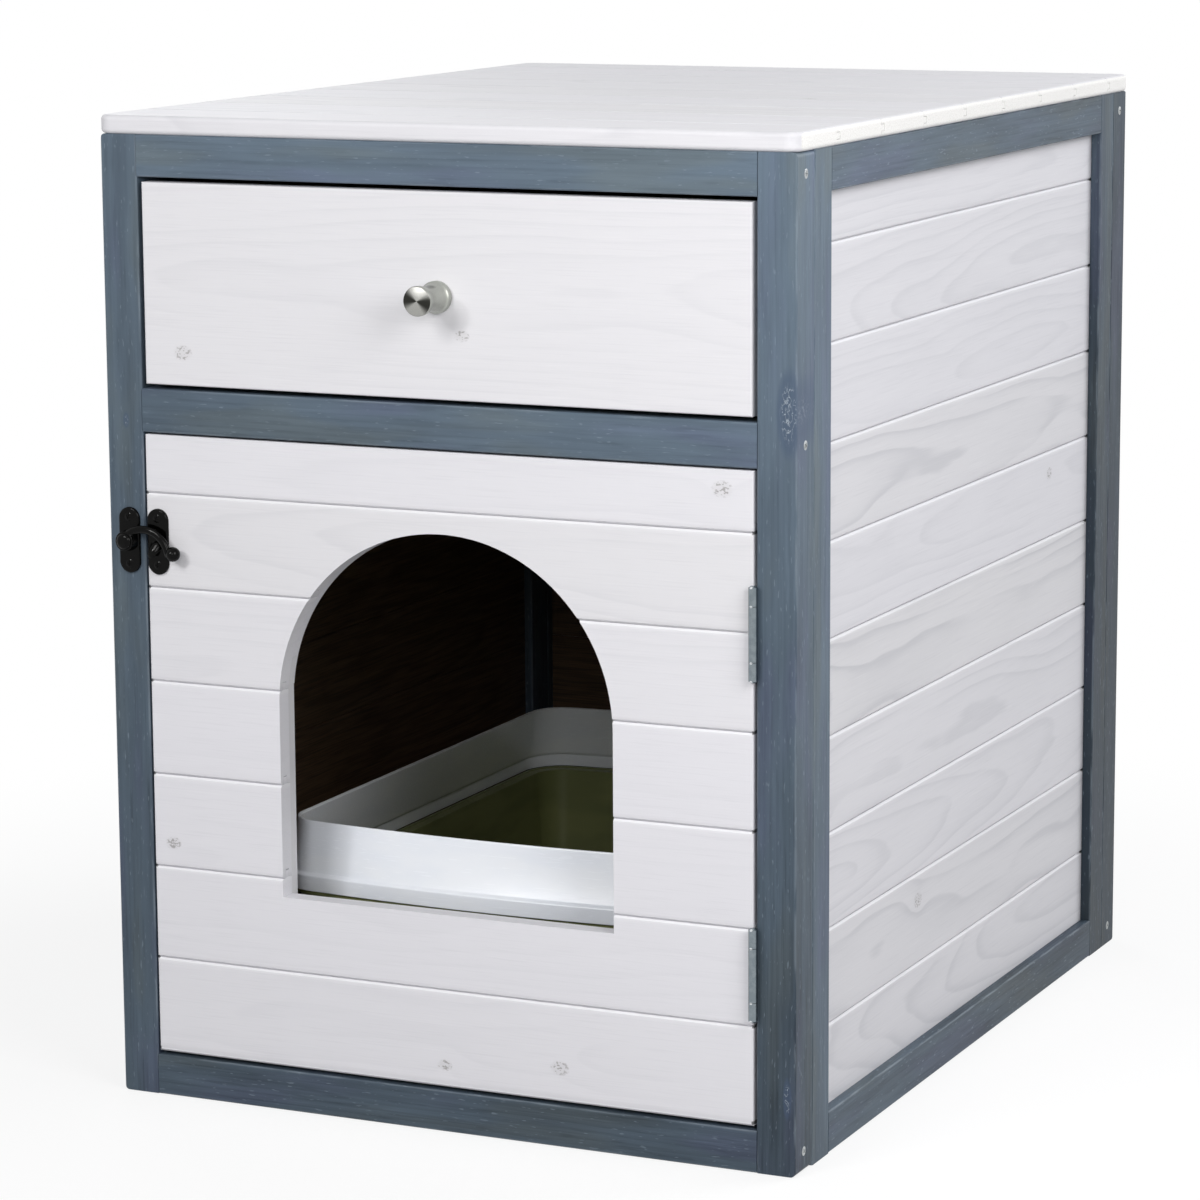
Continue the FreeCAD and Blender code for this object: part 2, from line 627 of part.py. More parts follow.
def hinge_leaf(x, low, knuckles, bore_radius, bores):
    """A plate in the gap with its knuckles rolled round the pin, drilled for its screws."""
    pieces = [box("leaf_thick", "leaf_wide", "hinge_long", (x, "front_y", low))]
    for start, long in knuckles:
        z = f"{low} + {start}"
        pieces.append(box("leaf_thick", "barrel_proud", long, (x, HINGE_Y, z)))
        pieces.append(cylinder("barrel_radius", long, (HINGE_X, HINGE_Y, z)))
    pin_hole = cylinder(bore_radius, "hinge_long + 2 * pin_cap", (HINGE_X, HINGE_Y, f"{low} - pin_cap"))
    return cut(cut(fused(pieces), pin_hole), bores)


def build_hinges(frame_bores, door_bores):
    """Two butt hinges: end knuckles on the frame leaf, the long middle knuckle on the door leaf."""
    ends = (("0", "end_knuckle"), ("hinge_long - end_knuckle", "end_knuckle"))
    middle = (("end_knuckle + knuckle_gap", "hinge_long - 2 * end_knuckle - 2 * knuckle_gap"),)
    frame_x = f"{INNER_RIGHT} - leaf_thick"
    frame = [hinge_leaf(frame_x, low, ends, "pin_radius + pin_tight", frame_bores) for low in HINGES]
    door = [hinge_leaf(DOOR_RIGHT, low, middle, "pin_radius + pin_free", door_bores) for low in HINGES]
    keep(group(frame), "hinge_frame_leaves")
    keep(group(door), "hinge_door_leaves")
    rim = "barrel_radius - pin_cap / 2"
    flat = "barrel_radius - 1.5 * pin_cap"
    profile = [("0", "-pin_cap"), (flat, "-pin_cap"), (rim, "0"), ("pin_radius", "0"),
               ("pin_radius", "hinge_long"), (rim, "hinge_long"), (flat, "hinge_long + pin_cap"),
               ("0", "hinge_long + pin_cap")]
    keep(group([turned(profile, (HINGE_X, HINGE_Y, low), (0, 0, 1)) for low in HINGES]), "hinge_pins")


# ---------------------------------------------------------------- the latch

LATCH_X = "-cabinet_width / 2 + latch_x"
KEEPER_X = "-cabinet_width / 2 + keeper_x"
PLATE_FACE = "front_y - plate_thick"


def round_ended_plate(x, inset, thick, y):
    """A plate with half-round ends, narrower by the inset all round."""
    radius = f"plate_wide / 2 - {inset}"
    reach = "plate_long / 2 - plate_wide / 2"
    middle = box(f"2 * ({radius})", thick, f"2 * ({reach})", (f"{x} - ({radius})", y, f"latch_z - ({reach})"))
    ends = [cylinder(radius, thick, (x, y, f"latch_z {sign} ({reach})"), (0, 1, 0)) for sign in "+-"]
    return [middle] + ends


def stepped_plate(x):
    """A cast plate: a thin edge with a raised middle."""
    half = "plate_thick / 2"
    edge = round_ended_plate(x, "0", half, f"front_y - {half}")
    return edge + round_ended_plate(x, "plate_step", half, PLATE_FACE)


def latch_screw_places(x):
    """One screw near each end of a plate."""
    return [(x, PLATE_FACE, f"latch_z {sign} latch_screw_z") for sign in "+-"]


def build_latch(post_bores, door_bores):
    """Plate and pivot on the stile, the turning lever, and the keeper with its horn on the door."""
    tight = "pivot_radius + pin_tight"
    pivot_hole = cylinder(tight, "plate_thick", (LATCH_X, PLATE_FACE, "latch_z"), (0, 1, 0))
    keep(cut(cut(fused(stepped_plate(LATCH_X)), pivot_hole), post_bores), "latch_plate")
    cap_face = "front_y - hub_front - lever_clear - pivot_cap"
    long = "pivot_cap + lever_clear + hub_front"
    rivet = [("0", "0"), ("pivot_cap_radius / 2", "0"), ("pivot_cap_radius", "pivot_cap / 2"),
             ("pivot_cap_radius", "pivot_cap"), ("pivot_radius", "pivot_cap"), ("pivot_radius", long),
             ("0", long)]
    keep(turned(rivet, (LATCH_X, cap_face, "latch_z"), (0, 1, 0)), "latch_pivot")
    horn = DOCUMENT.addObject("Part::Cone", "horn")
    bind(horn, "Radius1", "horn_foot")
    bind(horn, "Radius2", "horn_tip")
    bind(horn, "Height", "horn_high")
    forward = FreeCAD.Rotation(FreeCAD.Vector(0, 0, 1), FreeCAD.Vector(0, -1, 0))
    place(horn, (f"{KEEPER_X} + horn_x", PLATE_FACE, "latch_z + horn_z"), forward)
    keep(cut(fused(stepped_plate(KEEPER_X) + [horn]), door_bores), "latch_keeper")
    build_lever()


def build_lever():
    """Hub on the pivot, an arm arched over the keeper's horn, and a ball to lift it by."""
    hub_long = "hub_front - plate_thick - lever_clear"
    hub_face = (LATCH_X, "front_y - hub_front", "latch_z")
    hub = cylinder("hub_radius", hub_long, hub_face, (0, 1, 0))
    centre = (f"{LATCH_X} + arm_centre_x", "front_y - arm_back", "latch_z + arm_centre_z")
    to_front = FreeCAD.Rotation(FreeCAD.Vector(1, 0, 0), 90)
    ring = DOCUMENT.addObject("Part::Cylinder", "ring")
    bind(ring, "Radius", "arm_radius + arm_wide / 2")
    bind(ring, "Height", "arm_thick")
    bind(ring, "Angle", "arm_last - arm_first")
    place(ring, centre, to_front * FreeCAD.Rotation(FreeCAD.Vector(0, 0, 1), size("arm_first")))
    inside = cylinder("arm_radius - arm_wide / 2", "arm_thick", centre, (0, -1, 0))
    ball = DOCUMENT.addObject("Part::Sphere", "ball")
    bind(ball, "Radius", "ball_radius")
    place(ball, (f"{LATCH_X} + ball_x", "front_y - ball_front", "latch_z + ball_z"))
    hole = cylinder("pivot_radius + pivot_free", hub_long, hub_face, (0, 1, 0))
    keep(cut(fused([hub, cut(ring, inside), ball]), hole), "latch_lever")


# ---------------------------------------------------------------- the drawer

DRAWER_SIDE_X = "-cabinet_width / 2 + stile_face + drawer_side_gap"
DRAWER_LOW = "runner_top + runner_fit"
DRAWER_BOTTOM = "runner_top + runner_fit + drawer_bottom_up"
DRAWER_INSIDE = "cabinet_width - 2 * stile_face - 2 * drawer_side_gap - 2 * drawer_side_thick"
FRONT_BACK = "front_y + board_thick"


def build_drawer_box():
    """Two grooved sides, the back between them, and the bottom slid into the grooves."""
    low = "drawer_bottom_up - drawer_groove_fit"
    high = "drawer_bottom_up + drawer_bottom_thick + drawer_groove_fit"
    deep = "drawer_side_thick - drawer_groove"
    thick = "drawer_side_thick"
    section = [("0", "0"), (thick, "0"), (thick, low), (deep, low), (deep, high), (thick, high),
               (thick, "drawer_side_high"), ("0", "drawer_side_high")]
    left = (DRAWER_SIDE_X, FRONT_BACK, DRAWER_LOW)
    right = (f"-({DRAWER_SIDE_X}) - drawer_side_thick", FRONT_BACK, DRAWER_LOW)
    keep(prism("XZ_Plane", section, "drawer_long", left), "drawer_left_side")
    keep(prism("XZ_Plane", mirrored(section, across="drawer_side_thick"), "drawer_long", right),
         "drawer_right_side")
    keep(box(DRAWER_INSIDE, "drawer_side_thick", f"drawer_side_high - ({high})",
             (f"{DRAWER_SIDE_X} + drawer_side_thick", f"{FRONT_BACK} + drawer_long - drawer_side_thick",
              f"{DRAWER_LOW} + {high}")), "drawer_back")
    tongue = "drawer_groove - drawer_groove_fit"
    near = f"{FRONT_BACK} - ({tongue})"
    corner = (f"{DRAWER_SIDE_X} + drawer_side_thick - ({tongue})", near, DRAWER_BOTTOM)
    keep(box(f"{DRAWER_INSIDE} + 2 * ({tongue})", f"drawer_long + {tongue}", "drawer_bottom_thick", corner),
         "drawer_bottom")


def build_drawer_front():
    """One board, rounded over, grooved behind for the bottom and drilled for the knob."""
    front = size("front_y")
    low = "middle_rail_low + middle_rail_face + drawer_gap"
    high = f"frame_height - rail_face - drawer_gap - ({low})"
    board = rounded_box("cabinet_width - 2 * stile_face - 2 * drawer_gap", "board_thick", high,
                        (f"{INNER_LEFT} + drawer_gap", "front_y", low), "door_round",
                        lambda middle: abs(middle.y - front) < 0.01)
    slot_wide = f"{DRAWER_INSIDE} + 2 * drawer_groove"
    slot_low = f"{DRAWER_BOTTOM} - drawer_groove_fit"
    corner = (f"-({slot_wide}) / 2", f"{FRONT_BACK} - drawer_groove", slot_low)
    slot = box(slot_wide, "drawer_groove", "drawer_bottom_thick + 2 * drawer_groove_fit", corner)
    hole = cylinder("knob_screw_radius + bore_fit", "board_thick", ("0", "front_y", "knob_z"), (0, 1, 0))
    keep(cut(board, fused([slot, hole])), "drawer_front")


def build_knob():
    """A turned metal spool with a hollow waist, drawn tight by a screw from inside the drawer."""
    hole = "knob_screw_radius + bore_fit"
    edge = "knob_edge"
    profile = [(hole, "0"), (f"knob_base_radius - {edge}", "0"), ("knob_base_radius", edge),
               ("knob_base_radius", "knob_base_high"), ("knob_head_radius", f"knob_reach - knob_head_high"),
               ("knob_head_radius", f"knob_reach - {edge}"), (f"knob_head_radius - {edge}", "knob_reach"),
               ("0", "knob_reach"), ("0", "knob_screw_deep"), (hole, "knob_screw_deep")]
    spool = turned(profile, ("0", "front_y", "knob_z"), (0, -1, 0))
    hollow = DOCUMENT.addObject("Part::Torus", "hollow")
    bind(hollow, "Radius1", "knob_waist_radius + knob_waist_curve")
    bind(hollow, "Radius2", "knob_waist_curve")
    forward = FreeCAD.Rotation(FreeCAD.Vector(0, 0, 1), FreeCAD.Vector(0, -1, 0))
    place(hollow, ("0", "front_y - knob_waist", "knob_z"), forward)
    keep(cut(spool, hollow), "drawer_knob")
    end = "knob_screw_cap + board_thick + knob_screw_deep"
    screw = [("0", "0"), ("knob_screw_head / 2", "0"), ("knob_screw_head", "knob_screw_cap / 2"),
             ("knob_screw_head", "knob_screw_cap"), ("knob_screw_radius", "knob_screw_cap"),
             ("knob_screw_radius", end), ("0", end)]
    keep(turned(screw, ("0", f"{FRONT_BACK} + knob_screw_cap", "knob_z"), (0, -1, 0)), "drawer_knob_screw")


# ---------------------------------------------------------------- the litter tray

def tray_outline(inset, height):
    """The tray seen from above: bowed front and back, straight sides, round corners; set in by an inset."""
    bow = size("tray_bow")
    corner = size("tray_corner")
    front = size("front_y + tray_front")
    middle = front + size("tray_long") / 2
    corner_x = size("tray_half_wide") - corner
    corner_y = front + bow - math.sqrt((bow - corner) ** 2 - corner_x ** 2)
    radius = corner - inset
    lean_x = corner_x / (bow - corner)
    lean_y = (corner_y - front - bow) / (bow - corner)
    half = math.hypot(lean_x + 1, lean_y)
    quarter = {
        "crown": (0, front + inset),
        "on_front": (corner_x + radius * lean_x, corner_y + radius * lean_y),
        "on_corner": (corner_x + radius * (lean_x + 1) / half, corner_y + radius * lean_y / half),
        "on_side": (corner_x + radius, corner_y),
    }

    def at(name, right, near):
        x, y = quarter[name]
        return FreeCAD.Vector(right * x, y if near > 0 else 2 * middle - y, height)

    def arc(first, through, last):
        return Part.Arc(first, through, last).toShape()

    edges = []
    names = ("on_front", "on_corner", "on_side")
    for right, near in ((1, 1), (1, -1), (-1, -1), (-1, 1)):
        corner_points = [at(name, right, near) for name in names]
        if right * near > 0:
            edges.append(arc(*corner_points))
            edges.append(Part.makeLine(corner_points[2], at("on_side", right, -near)))
        else:
            edges.append(arc(*reversed(corner_points)))
            edges.append(arc(corner_points[0], at("crown", right, near), at("on_front", -right, near)))
    return Part.Wire(edges)


def tray_loft(levels):
    """A solid through outlines given as (inset, height) formulas from the lowest up."""
    return Part.makeLoft([tray_outline(size(inset), size(height)) for inset, height in levels], True, True)


def tray_shell(label, shape):
    """A moulded piece of the tray, set in place as it is drawn."""
    piece = DOCUMENT.addObject("Part::Feature", label)
    piece.Shape = shape
    piece.Placement = FreeCAD.Placement()
    keep(piece, label)


def build_tray():
    """The litter pan with its lip, and the spill rim that sits on the lip."""
    lip = "rim_low - tray_wall"
    wall = "tray_wall"
    body = tray_loft([("pan_foot_inset", "floor_top"), ("pan_top_inset", lip)])
    brim = tray_loft([("pan_lip_inset", lip), ("pan_lip_inset", "rim_low")])
    hollow = tray_loft([(f"pan_foot_inset + {wall}", f"floor_top + {wall}"), (f"pan_top_inset + {wall}", lip),
                        (f"pan_top_inset + {wall}", f"rim_low + {wall}")])
    tray_shell("litter_pan", body.fuse(brim).cut(hollow).removeSplitter())
    outer = [("0", "rim_low"), ("0", "rim_step"), ("rim_step_inset", "rim_step + rim_step_inset / 2"),
             ("rim_top_inset", f"rim_top - {wall} / 2"), (f"rim_top_inset + {wall} / 2", "rim_top")]
    narrow = f"rim_top_inset + {wall}"
    inner = [(wall, f"rim_low + {wall}"), (wall, "rim_step"),
             (f"rim_step_inset + {wall}", "rim_step + rim_step_inset / 2"),
             (narrow, f"rim_top - {wall} / 2"), (narrow, f"rim_top + {wall}")]
    opening = f"pan_top_inset + {wall}"
    throat = [(opening, f"rim_low - {wall}"), (opening, f"rim_low + 2 * {wall}")]
    tray_shell("spill_rim", tray_loft(outer).cut(tray_loft(inner)).cut(tray_loft(throat)).removeSplitter())


# ---------------------------------------------------------------- the whole cabinet

def build_cabinet():
    """Make every piece, the screws first because the timber is drilled for them."""
    frame_bores = frame_screws("bore_fit")
    frame_leaf_face = f"{INNER_RIGHT} - leaf_thick"
    door_leaf_face = f"{DOOR_RIGHT} + leaf_thick"
    hinge_frame = (hinge_screw_places(frame_leaf_face), (1, 0, 0))
    hinge_door = (hinge_screw_places(door_leaf_face), (-1, 0, 0))
    latch_post = (latch_screw_places(LATCH_X), (0, 1, 0))
    latch_door = (latch_screw_places(KEEPER_X), (0, 1, 0))
    hinge_frame_bores = small_screws(*hinge_frame, "bore_fit")
    hinge_door_bores = small_screws(*hinge_door, "bore_fit")
    latch_post_bores = small_screws(*latch_post, "bore_fit")
    latch_door_bores = small_screws(*latch_door, "bore_fit")
    build_front_frame(frame_bores, hinge_frame_bores, latch_post_bores)
    build_rear_frame(frame_bores)
    for side in ("left", "right"):
        build_side_frame(side)
        build_side_planks(side)
    build_rear_planks()
    build_top()
    build_floor()
    build_drawer_carriers()
    build_door_stop()
    build_door(arch_space(), group([hinge_door_bores, latch_door_bores]))
    build_hinges(hinge_frame_bores, hinge_door_bores)
    build_latch(latch_post_bores, latch_door_bores)
    build_drawer_box()
    build_drawer_front()
    build_knob()
    build_tray()
    keep(frame_screws(), "frame_screws")
    keep(small_screws(*hinge_frame), "hinge_frame_screws")
    keep(small_screws(*hinge_door), "hinge_door_screws")
    keep(small_screws(*latch_post), "latch_plate_screws")
    keep(small_screws(*latch_door), "latch_keeper_screws")


def check_cabinet():
    """Stop if any step failed, any piece is not a sound solid, or the origin is off."""
    failed = [item.Name for item in DOCUMENT.Objects if {"Invalid", "Error"} & set(item.State)]
    if failed:
        raise RuntimeError(f"failed steps: {failed}")
    whole = FreeCAD.BoundBox()
    for piece in PIECES:
        shape = piece.Shape
        if shape.isNull() or not shape.isValid() or not shape.Solids:
            raise RuntimeError(f"{piece.Label} is not a sound solid")
        whole.add(shape.BoundBox)
    if max(abs(whole.Center.x), abs(whole.Center.y), abs(whole.ZMin)) > 0.5:
        raise RuntimeError(f"the origin is not at the bottom centre of {whole}")
    print(f"{len(PIECES)} pieces, {whole}")


def write_pieces():
    """One STEP file for each piece, named after it."""
    os.makedirs("parts", exist_ok=True)
    for piece in PIECES:
        piece.Shape.exportStep(f"parts/{piece.Label}.step")


fill_sheet()
build_cabinet()
DOCUMENT.recompute()
check_cabinet()
write_pieces()
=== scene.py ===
import math

import bmesh
import bpy
from mathutils import Matrix, Vector


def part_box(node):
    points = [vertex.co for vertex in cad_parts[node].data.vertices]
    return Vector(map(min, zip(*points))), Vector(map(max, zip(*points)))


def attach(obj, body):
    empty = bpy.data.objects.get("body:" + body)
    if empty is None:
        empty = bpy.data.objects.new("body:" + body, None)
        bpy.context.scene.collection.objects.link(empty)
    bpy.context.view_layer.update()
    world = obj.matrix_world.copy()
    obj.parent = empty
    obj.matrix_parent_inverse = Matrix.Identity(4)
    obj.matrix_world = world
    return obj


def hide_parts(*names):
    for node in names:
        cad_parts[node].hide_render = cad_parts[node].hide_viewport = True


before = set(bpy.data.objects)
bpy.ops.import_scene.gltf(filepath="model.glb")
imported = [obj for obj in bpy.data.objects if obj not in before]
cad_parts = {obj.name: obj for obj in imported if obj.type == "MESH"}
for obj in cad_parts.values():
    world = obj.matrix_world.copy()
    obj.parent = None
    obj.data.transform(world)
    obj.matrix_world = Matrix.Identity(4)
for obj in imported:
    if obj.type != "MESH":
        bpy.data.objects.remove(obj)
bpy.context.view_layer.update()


# ---------------------------------------------------------------- blue-grey frame timber
# Planed softwood bars, 26 by 28 mm, screwed into a front frame and a back frame that are joined by
# two side frames. They are dipped in a thin blue-grey stain, so growth lines and cloudy patches
# show through it, and the sharp edges have rubbed pale. Each bar also goes from one tone at its
# foot to another at its head. This is partly its own depth of stain, and partly painted sheen
# towards the tops and painted shade towards the feet and the back.

class Strand:
    """A socket in a finish. + - * / and ** on it add Math nodes, and node() adds any other node."""

    def __init__(self, tree, socket=None):
        self.tree = tree
        self.socket = socket

    def node(self, kind, settings=None, sockets=None, output=0):
        """Adds a node, with its settings first and then its sockets, each a value or a link."""
        made = self.tree.nodes.new(kind)
        for name, value in (settings or {}).items():
            setattr(made, name, value)
        for name, value in (sockets or {}).items():
            if isinstance(value, Strand):
                self.tree.links.new(value.socket, made.inputs[name])
            else:
                made.inputs[name].default_value = value
        return Strand(self.tree, made.outputs[output] if made.outputs else None)

    def out(self, name):
        return Strand(self.tree, self.socket.node.outputs[name])

    def sum(self, operation, first, second=0.0):
        return self.node("ShaderNodeMath", {"operation": operation}, {0: first, 1: second})

    def __add__(self, other):
        return self.sum("ADD", self, other)

    __radd__ = __add__

    def __sub__(self, other):
        return self.sum("SUBTRACT", self, other)

    def __rsub__(self, other):
        return self.sum("SUBTRACT", other, self)

    def __mul__(self, other):
        return self.sum("MULTIPLY", self, other)

    __rmul__ = __mul__

    def __truediv__(self, other):
        return self.sum("DIVIDE", self, other)

    def __rtruediv__(self, other):
        return self.sum("DIVIDE", other, self)

    def __pow__(self, other):
        return self.sum("POWER", self, other)

    def __rpow__(self, other):
        return self.sum("POWER", other, self)

    def __abs__(self):
        return self.sum("ABSOLUTE", self)

    def rise(self, low, high):
        """0 where this value is under low and 1 where it is over high, smooth between them."""
        return self.node("ShaderNodeMapRange", {"interpolation_type": "SMOOTHSTEP"},
                         {"Value": self, "From Min": low, "From Max": high})

    def mixed(self, share, first, second):
        """The first colour, turned towards the second by share."""
        return self.node("ShaderNodeMix", {"data_type": "RGBA"}, {0: share, 6: first, 7: second}, 2)

    def blots(self, place, sizes, seed, detail=2.0):
        """Soft noise about 0.5, in blots whose sizes, in metres, go with the parts of place."""
        along, across, deep = (part / size for part, size in zip(place, sizes))
        spot = self.node("ShaderNodeCombineXYZ", {},
                         {0: along + seed, 1: across + seed * 0.37, 2: deep})
        return self.node("ShaderNodeTexNoise", {},
                         {"Vector": spot, "Scale": 1.0, "Detail": detail})


def colour(red, green, blue):
    """A colour read off a paint card, 0 to 255, as Blender keeps it."""
    shares = [part / 255 for part in (red, green, blue)]
    lights = [share / 12.92 if share < 0.04045 else ((share + 0.055) / 1.055) ** 2.4
              for share in shares]
    return (*lights, 1.0)


def new_finish(name):
    finish = bpy.data.materials.new(name)
    finish.use_nodes = True
    finish.node_tree.nodes.clear()
    return finish, Strand(finish.node_tree)


def lay_on(start, base, rough, relief=None, strength=0.3, depth=0.0003, **sockets):
    """Ends a finish: its colour, its roughness, its relief, and what is the same all over it."""
    sockets = {name.replace("_", " ").title().replace("Ior", "IOR"): value
               for name, value in sockets.items()}
    if relief is not None:
        bump = {"Strength": strength, "Distance": depth, "Height": relief}
        sockets["Normal"] = start.node("ShaderNodeBump", {}, bump)
    shader = start.node("ShaderNodeBsdfPrincipled", {},
                        {"Base Color": base, "Roughness": rough, **sockets})
    start.node("ShaderNodeOutputMaterial", {}, {"Surface": shader})


def timber_axes(start, order):
    """A board's point, in metres: along its grain, across it and into it, axes as in order."""
    place = start.node("ShaderNodeTexCoord").out("Object")
    apart = start.node("ShaderNodeSeparateXYZ", {}, {0: place})
    return [apart.out(letter) for letter in order]


def paint_node(name, finish):
    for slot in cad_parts[name].material_slots:
        slot.material = finish


def stain_bar(name, order, seed, low_end, high_end, scuffs=()):
    """Stains one bar. low_end and high_end say how pale it is at its two ends, from 0 to 1.

    This is partly the depth of the stain and partly painted sheen at the high values and painted
    shade at the low ones: 0 is deep and dark, and 1 is pale. Scuffs are (along, across, length,
    width) of places knocked pale.
    """
    ring_apart, pith_off = 0.0042, 0.03
    low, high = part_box(name)
    finish, start = new_finish("stain_" + name)
    along, across, deep = place = timber_axes(start, order)
    cloud = start.blots(place, (0.09, 0.017, 0.017), seed)
    patch = start.blots(place, (0.16, 0.03, 0.03), seed + 11.3)
    fibre = start.blots(place, (0.06, 0.0012, 0.0012), seed + 23.9, 3.0)
    band = start.blots(place, (0.5, 0.006, 0.006), seed + 31.7)
    ends = ["XYZ".index(letter) for letter in order]
    pith_across = (low[ends[1]] + high[ends[1]]) / 2 + pith_off * math.sin(seed)
    pith_deep = (low[ends[2]] + high[ends[2]]) / 2 + pith_off * math.cos(seed)
    wander = start.blots(place, (0.25, 0.04, 0.04), seed + 41.1) * 0.008
    ring = ((across - pith_across) ** 2.0 + (deep - pith_deep) ** 2.0) ** 0.5 + wander
    ring = start.sum("FRACT", ring / ring_apart)
    late = ring.rise(0.3, 0.85) * (1 - ring.rise(0.88, 1.0))
    foot, head = low[ends[0]], high[ends[0]]
    # From foot to head: the stain's depth, together with painted sheen towards the top and painted
    # shade towards the foot.
    stain_and_light_share = low_end + (high_end - low_end) * ((along - foot) / (head - foot))
    dash = start.blots(place, (0.035, 0.0028, 0.0028), seed + 67.0)
    stain_and_light_share = stain_and_light_share + (cloud - 0.5) * 0.7 + (band - 0.5) * 0.3 - late * 0.09
    stain_and_light_share = stain_and_light_share - fibre.rise(0.5, 0.75) * 0.14
    stain_and_light_share = stain_and_light_share - dash.rise(0.56, 0.72) * 0.16 + (1 - dash.rise(0.3, 0.42)) * 0.1
    stain_and_light_share = stain_and_light_share * 0.8 + 0.2
    base = start.mixed(stain_and_light_share, colour(41, 52, 62), colour(99, 115, 130))
    purple = start.mixed(stain_and_light_share, colour(48, 52, 72), colour(101, 110, 137))
    base = start.mixed(patch.rise(0.5, 0.66) * 0.45, base, purple)
    greenish = start.mixed(stain_and_light_share, colour(48, 54, 55), colour(106, 117, 120))
    base = start.mixed((1 - patch.rise(0.34, 0.48)) * 0.45, base, greenish)
    tick = start.blots(place, (0.007, 0.0013, 0.0013), seed + 83.0, 1.0)
    base = start.mixed(tick.rise(0.66, 0.76) * 0.35, base, colour(136, 150, 163))
    edges = []
    for letter, index in zip(order[1:], ends[1:]):
        part = place[order.index(letter)]
        edges.append(start.sum("MINIMUM", part - low[index], high[index] - part))
    edge = start.sum("MAXIMUM", *edges)
    rub = start.blots(place, (0.03, 0.004, 0.004), seed + 53.0)
    worn = (1 - edge.rise(0.0003, 0.0016)) * rub.rise(0.38, 0.65)
    base = start.mixed(worn * 0.4, base, colour(140, 151, 161))
    for at_along, at_across, long, wide in scuffs:
        near = ((along - at_along) / long) ** 2.0 + ((across - at_across) / wide) ** 2.0
        near = near + (cloud - 0.5) * 1.2
        base = start.mixed((1 - near.rise(0.8, 2.4)) * 0.55, base, colour(66, 82, 106))
        tangle = start.blots(place, (0.005, 0.0022, 0.0022), seed + at_along * 90)
        scratch = (1 - near.rise(0.2, 1.0)) * (1 - abs(tangle - 0.5).rise(0.006, 0.022))
        base = start.mixed(scratch * 0.75, base, colour(190, 199, 206))
    lay_on(start, base, 0.42 + 0.2 * fibre, fibre * 0.5 - late * 0.3, 0.35, 0.0003,
           specular_ior_level=0.3)
    paint_node(name, finish)


# Each bar's two tones paint sheen towards the tops and shade towards the feet and the back, on top
# of how deep its stain took.
stain_bar("front_left_stile", "ZXY", 3.1, 0.25, 0.6, [(0.449, -0.2262, 0.004, 0.0018)])
stain_bar("front_right_stile", "ZXY", 8.2, -0.05, 1.0,
          [(0.477, 0.2345, 0.02, 0.006), (0.05, 0.2345, 0.01, 0.0022)])
stain_bar("rear_left_stile", "ZXY", 12.6, 0.1, 0.5)
stain_bar("rear_right_stile", "ZXY", 17.4, -0.5, -0.05)
for stile, seed, foot, head in (("left_side_front_stile", 21.5, 0.2, 0.7),
                                ("left_side_rear_stile", 26.9, 0.1, 0.6),
                                ("right_side_front_stile", 31.2, 0.4, 0.88),
                                ("right_side_rear_stile", 36.8, -0.6, 0.28)):
    stain_bar(stile, "ZYX", seed, foot, head)
for rail, seed, left, right in (("front_top_rail", 41.3, 0.85, 0.9),
                                ("front_middle_rail", 46.7, 0.55, 0.8),
                                ("front_bottom_rail", 51.9, 0.25, 0.15),
                                ("rear_top_rail", 56.4, 0.6, 0.6),
                                ("rear_bottom_rail", 61.8, 0.2, 0.2)):
    stain_bar(rail, "XZY", seed, left, right)
for rail, seed, front, rear in (("left_side_top_rail", 66.1, 0.8, 0.7),
                                ("left_side_bottom_rail", 71.6, 0.3, 0.1),
                                ("right_side_top_rail", 76.2, 0.6, 0.25),
                                ("right_side_bottom_rail", 81.5, 0.35, 0.0)):
    stain_bar(rail, "YZX", seed, front, rear)


# ---------------------------------------------------------------- frame screws
# Countersunk steel screws with a cross recess, zinc plated, driven through the stiles into the ends
# of the rails from both sides and left in sight. Their heads lie just proud of the stain.

def zinc_finish(name, dull, bright, rough, glint_spots=()):
    """Zinc plate, with painted highlights at the spots, each an x and a z."""
    finish, start = new_finish(name)
    place = timber_axes(start, "XYZ")
    spangle = start.blots(place, (0.004, 0.004, 0.004), 5.0, 4.0)
    rubbed = start.blots(place, (0.0008, 0.0008, 0.0008), 9.0, 2.0)
    base = start.mixed(spangle.rise(0.35, 0.65), dull, bright)
    # Painted highlights: small bright glints at the given spots.
    for x, z in glint_spots:
        off = ((place[0] - x) / 0.0011) ** 2.0 + ((place[2] - z) / 0.0008) ** 2.0
        base = start.mixed((1 - off.rise(0.2, 1.2)) * 0.8, base, colour(240, 243, 245))
    lay_on(start, base, rough + 0.1 * spangle, rubbed, 0.1, 0.00003, metallic=1.0)
    return finish


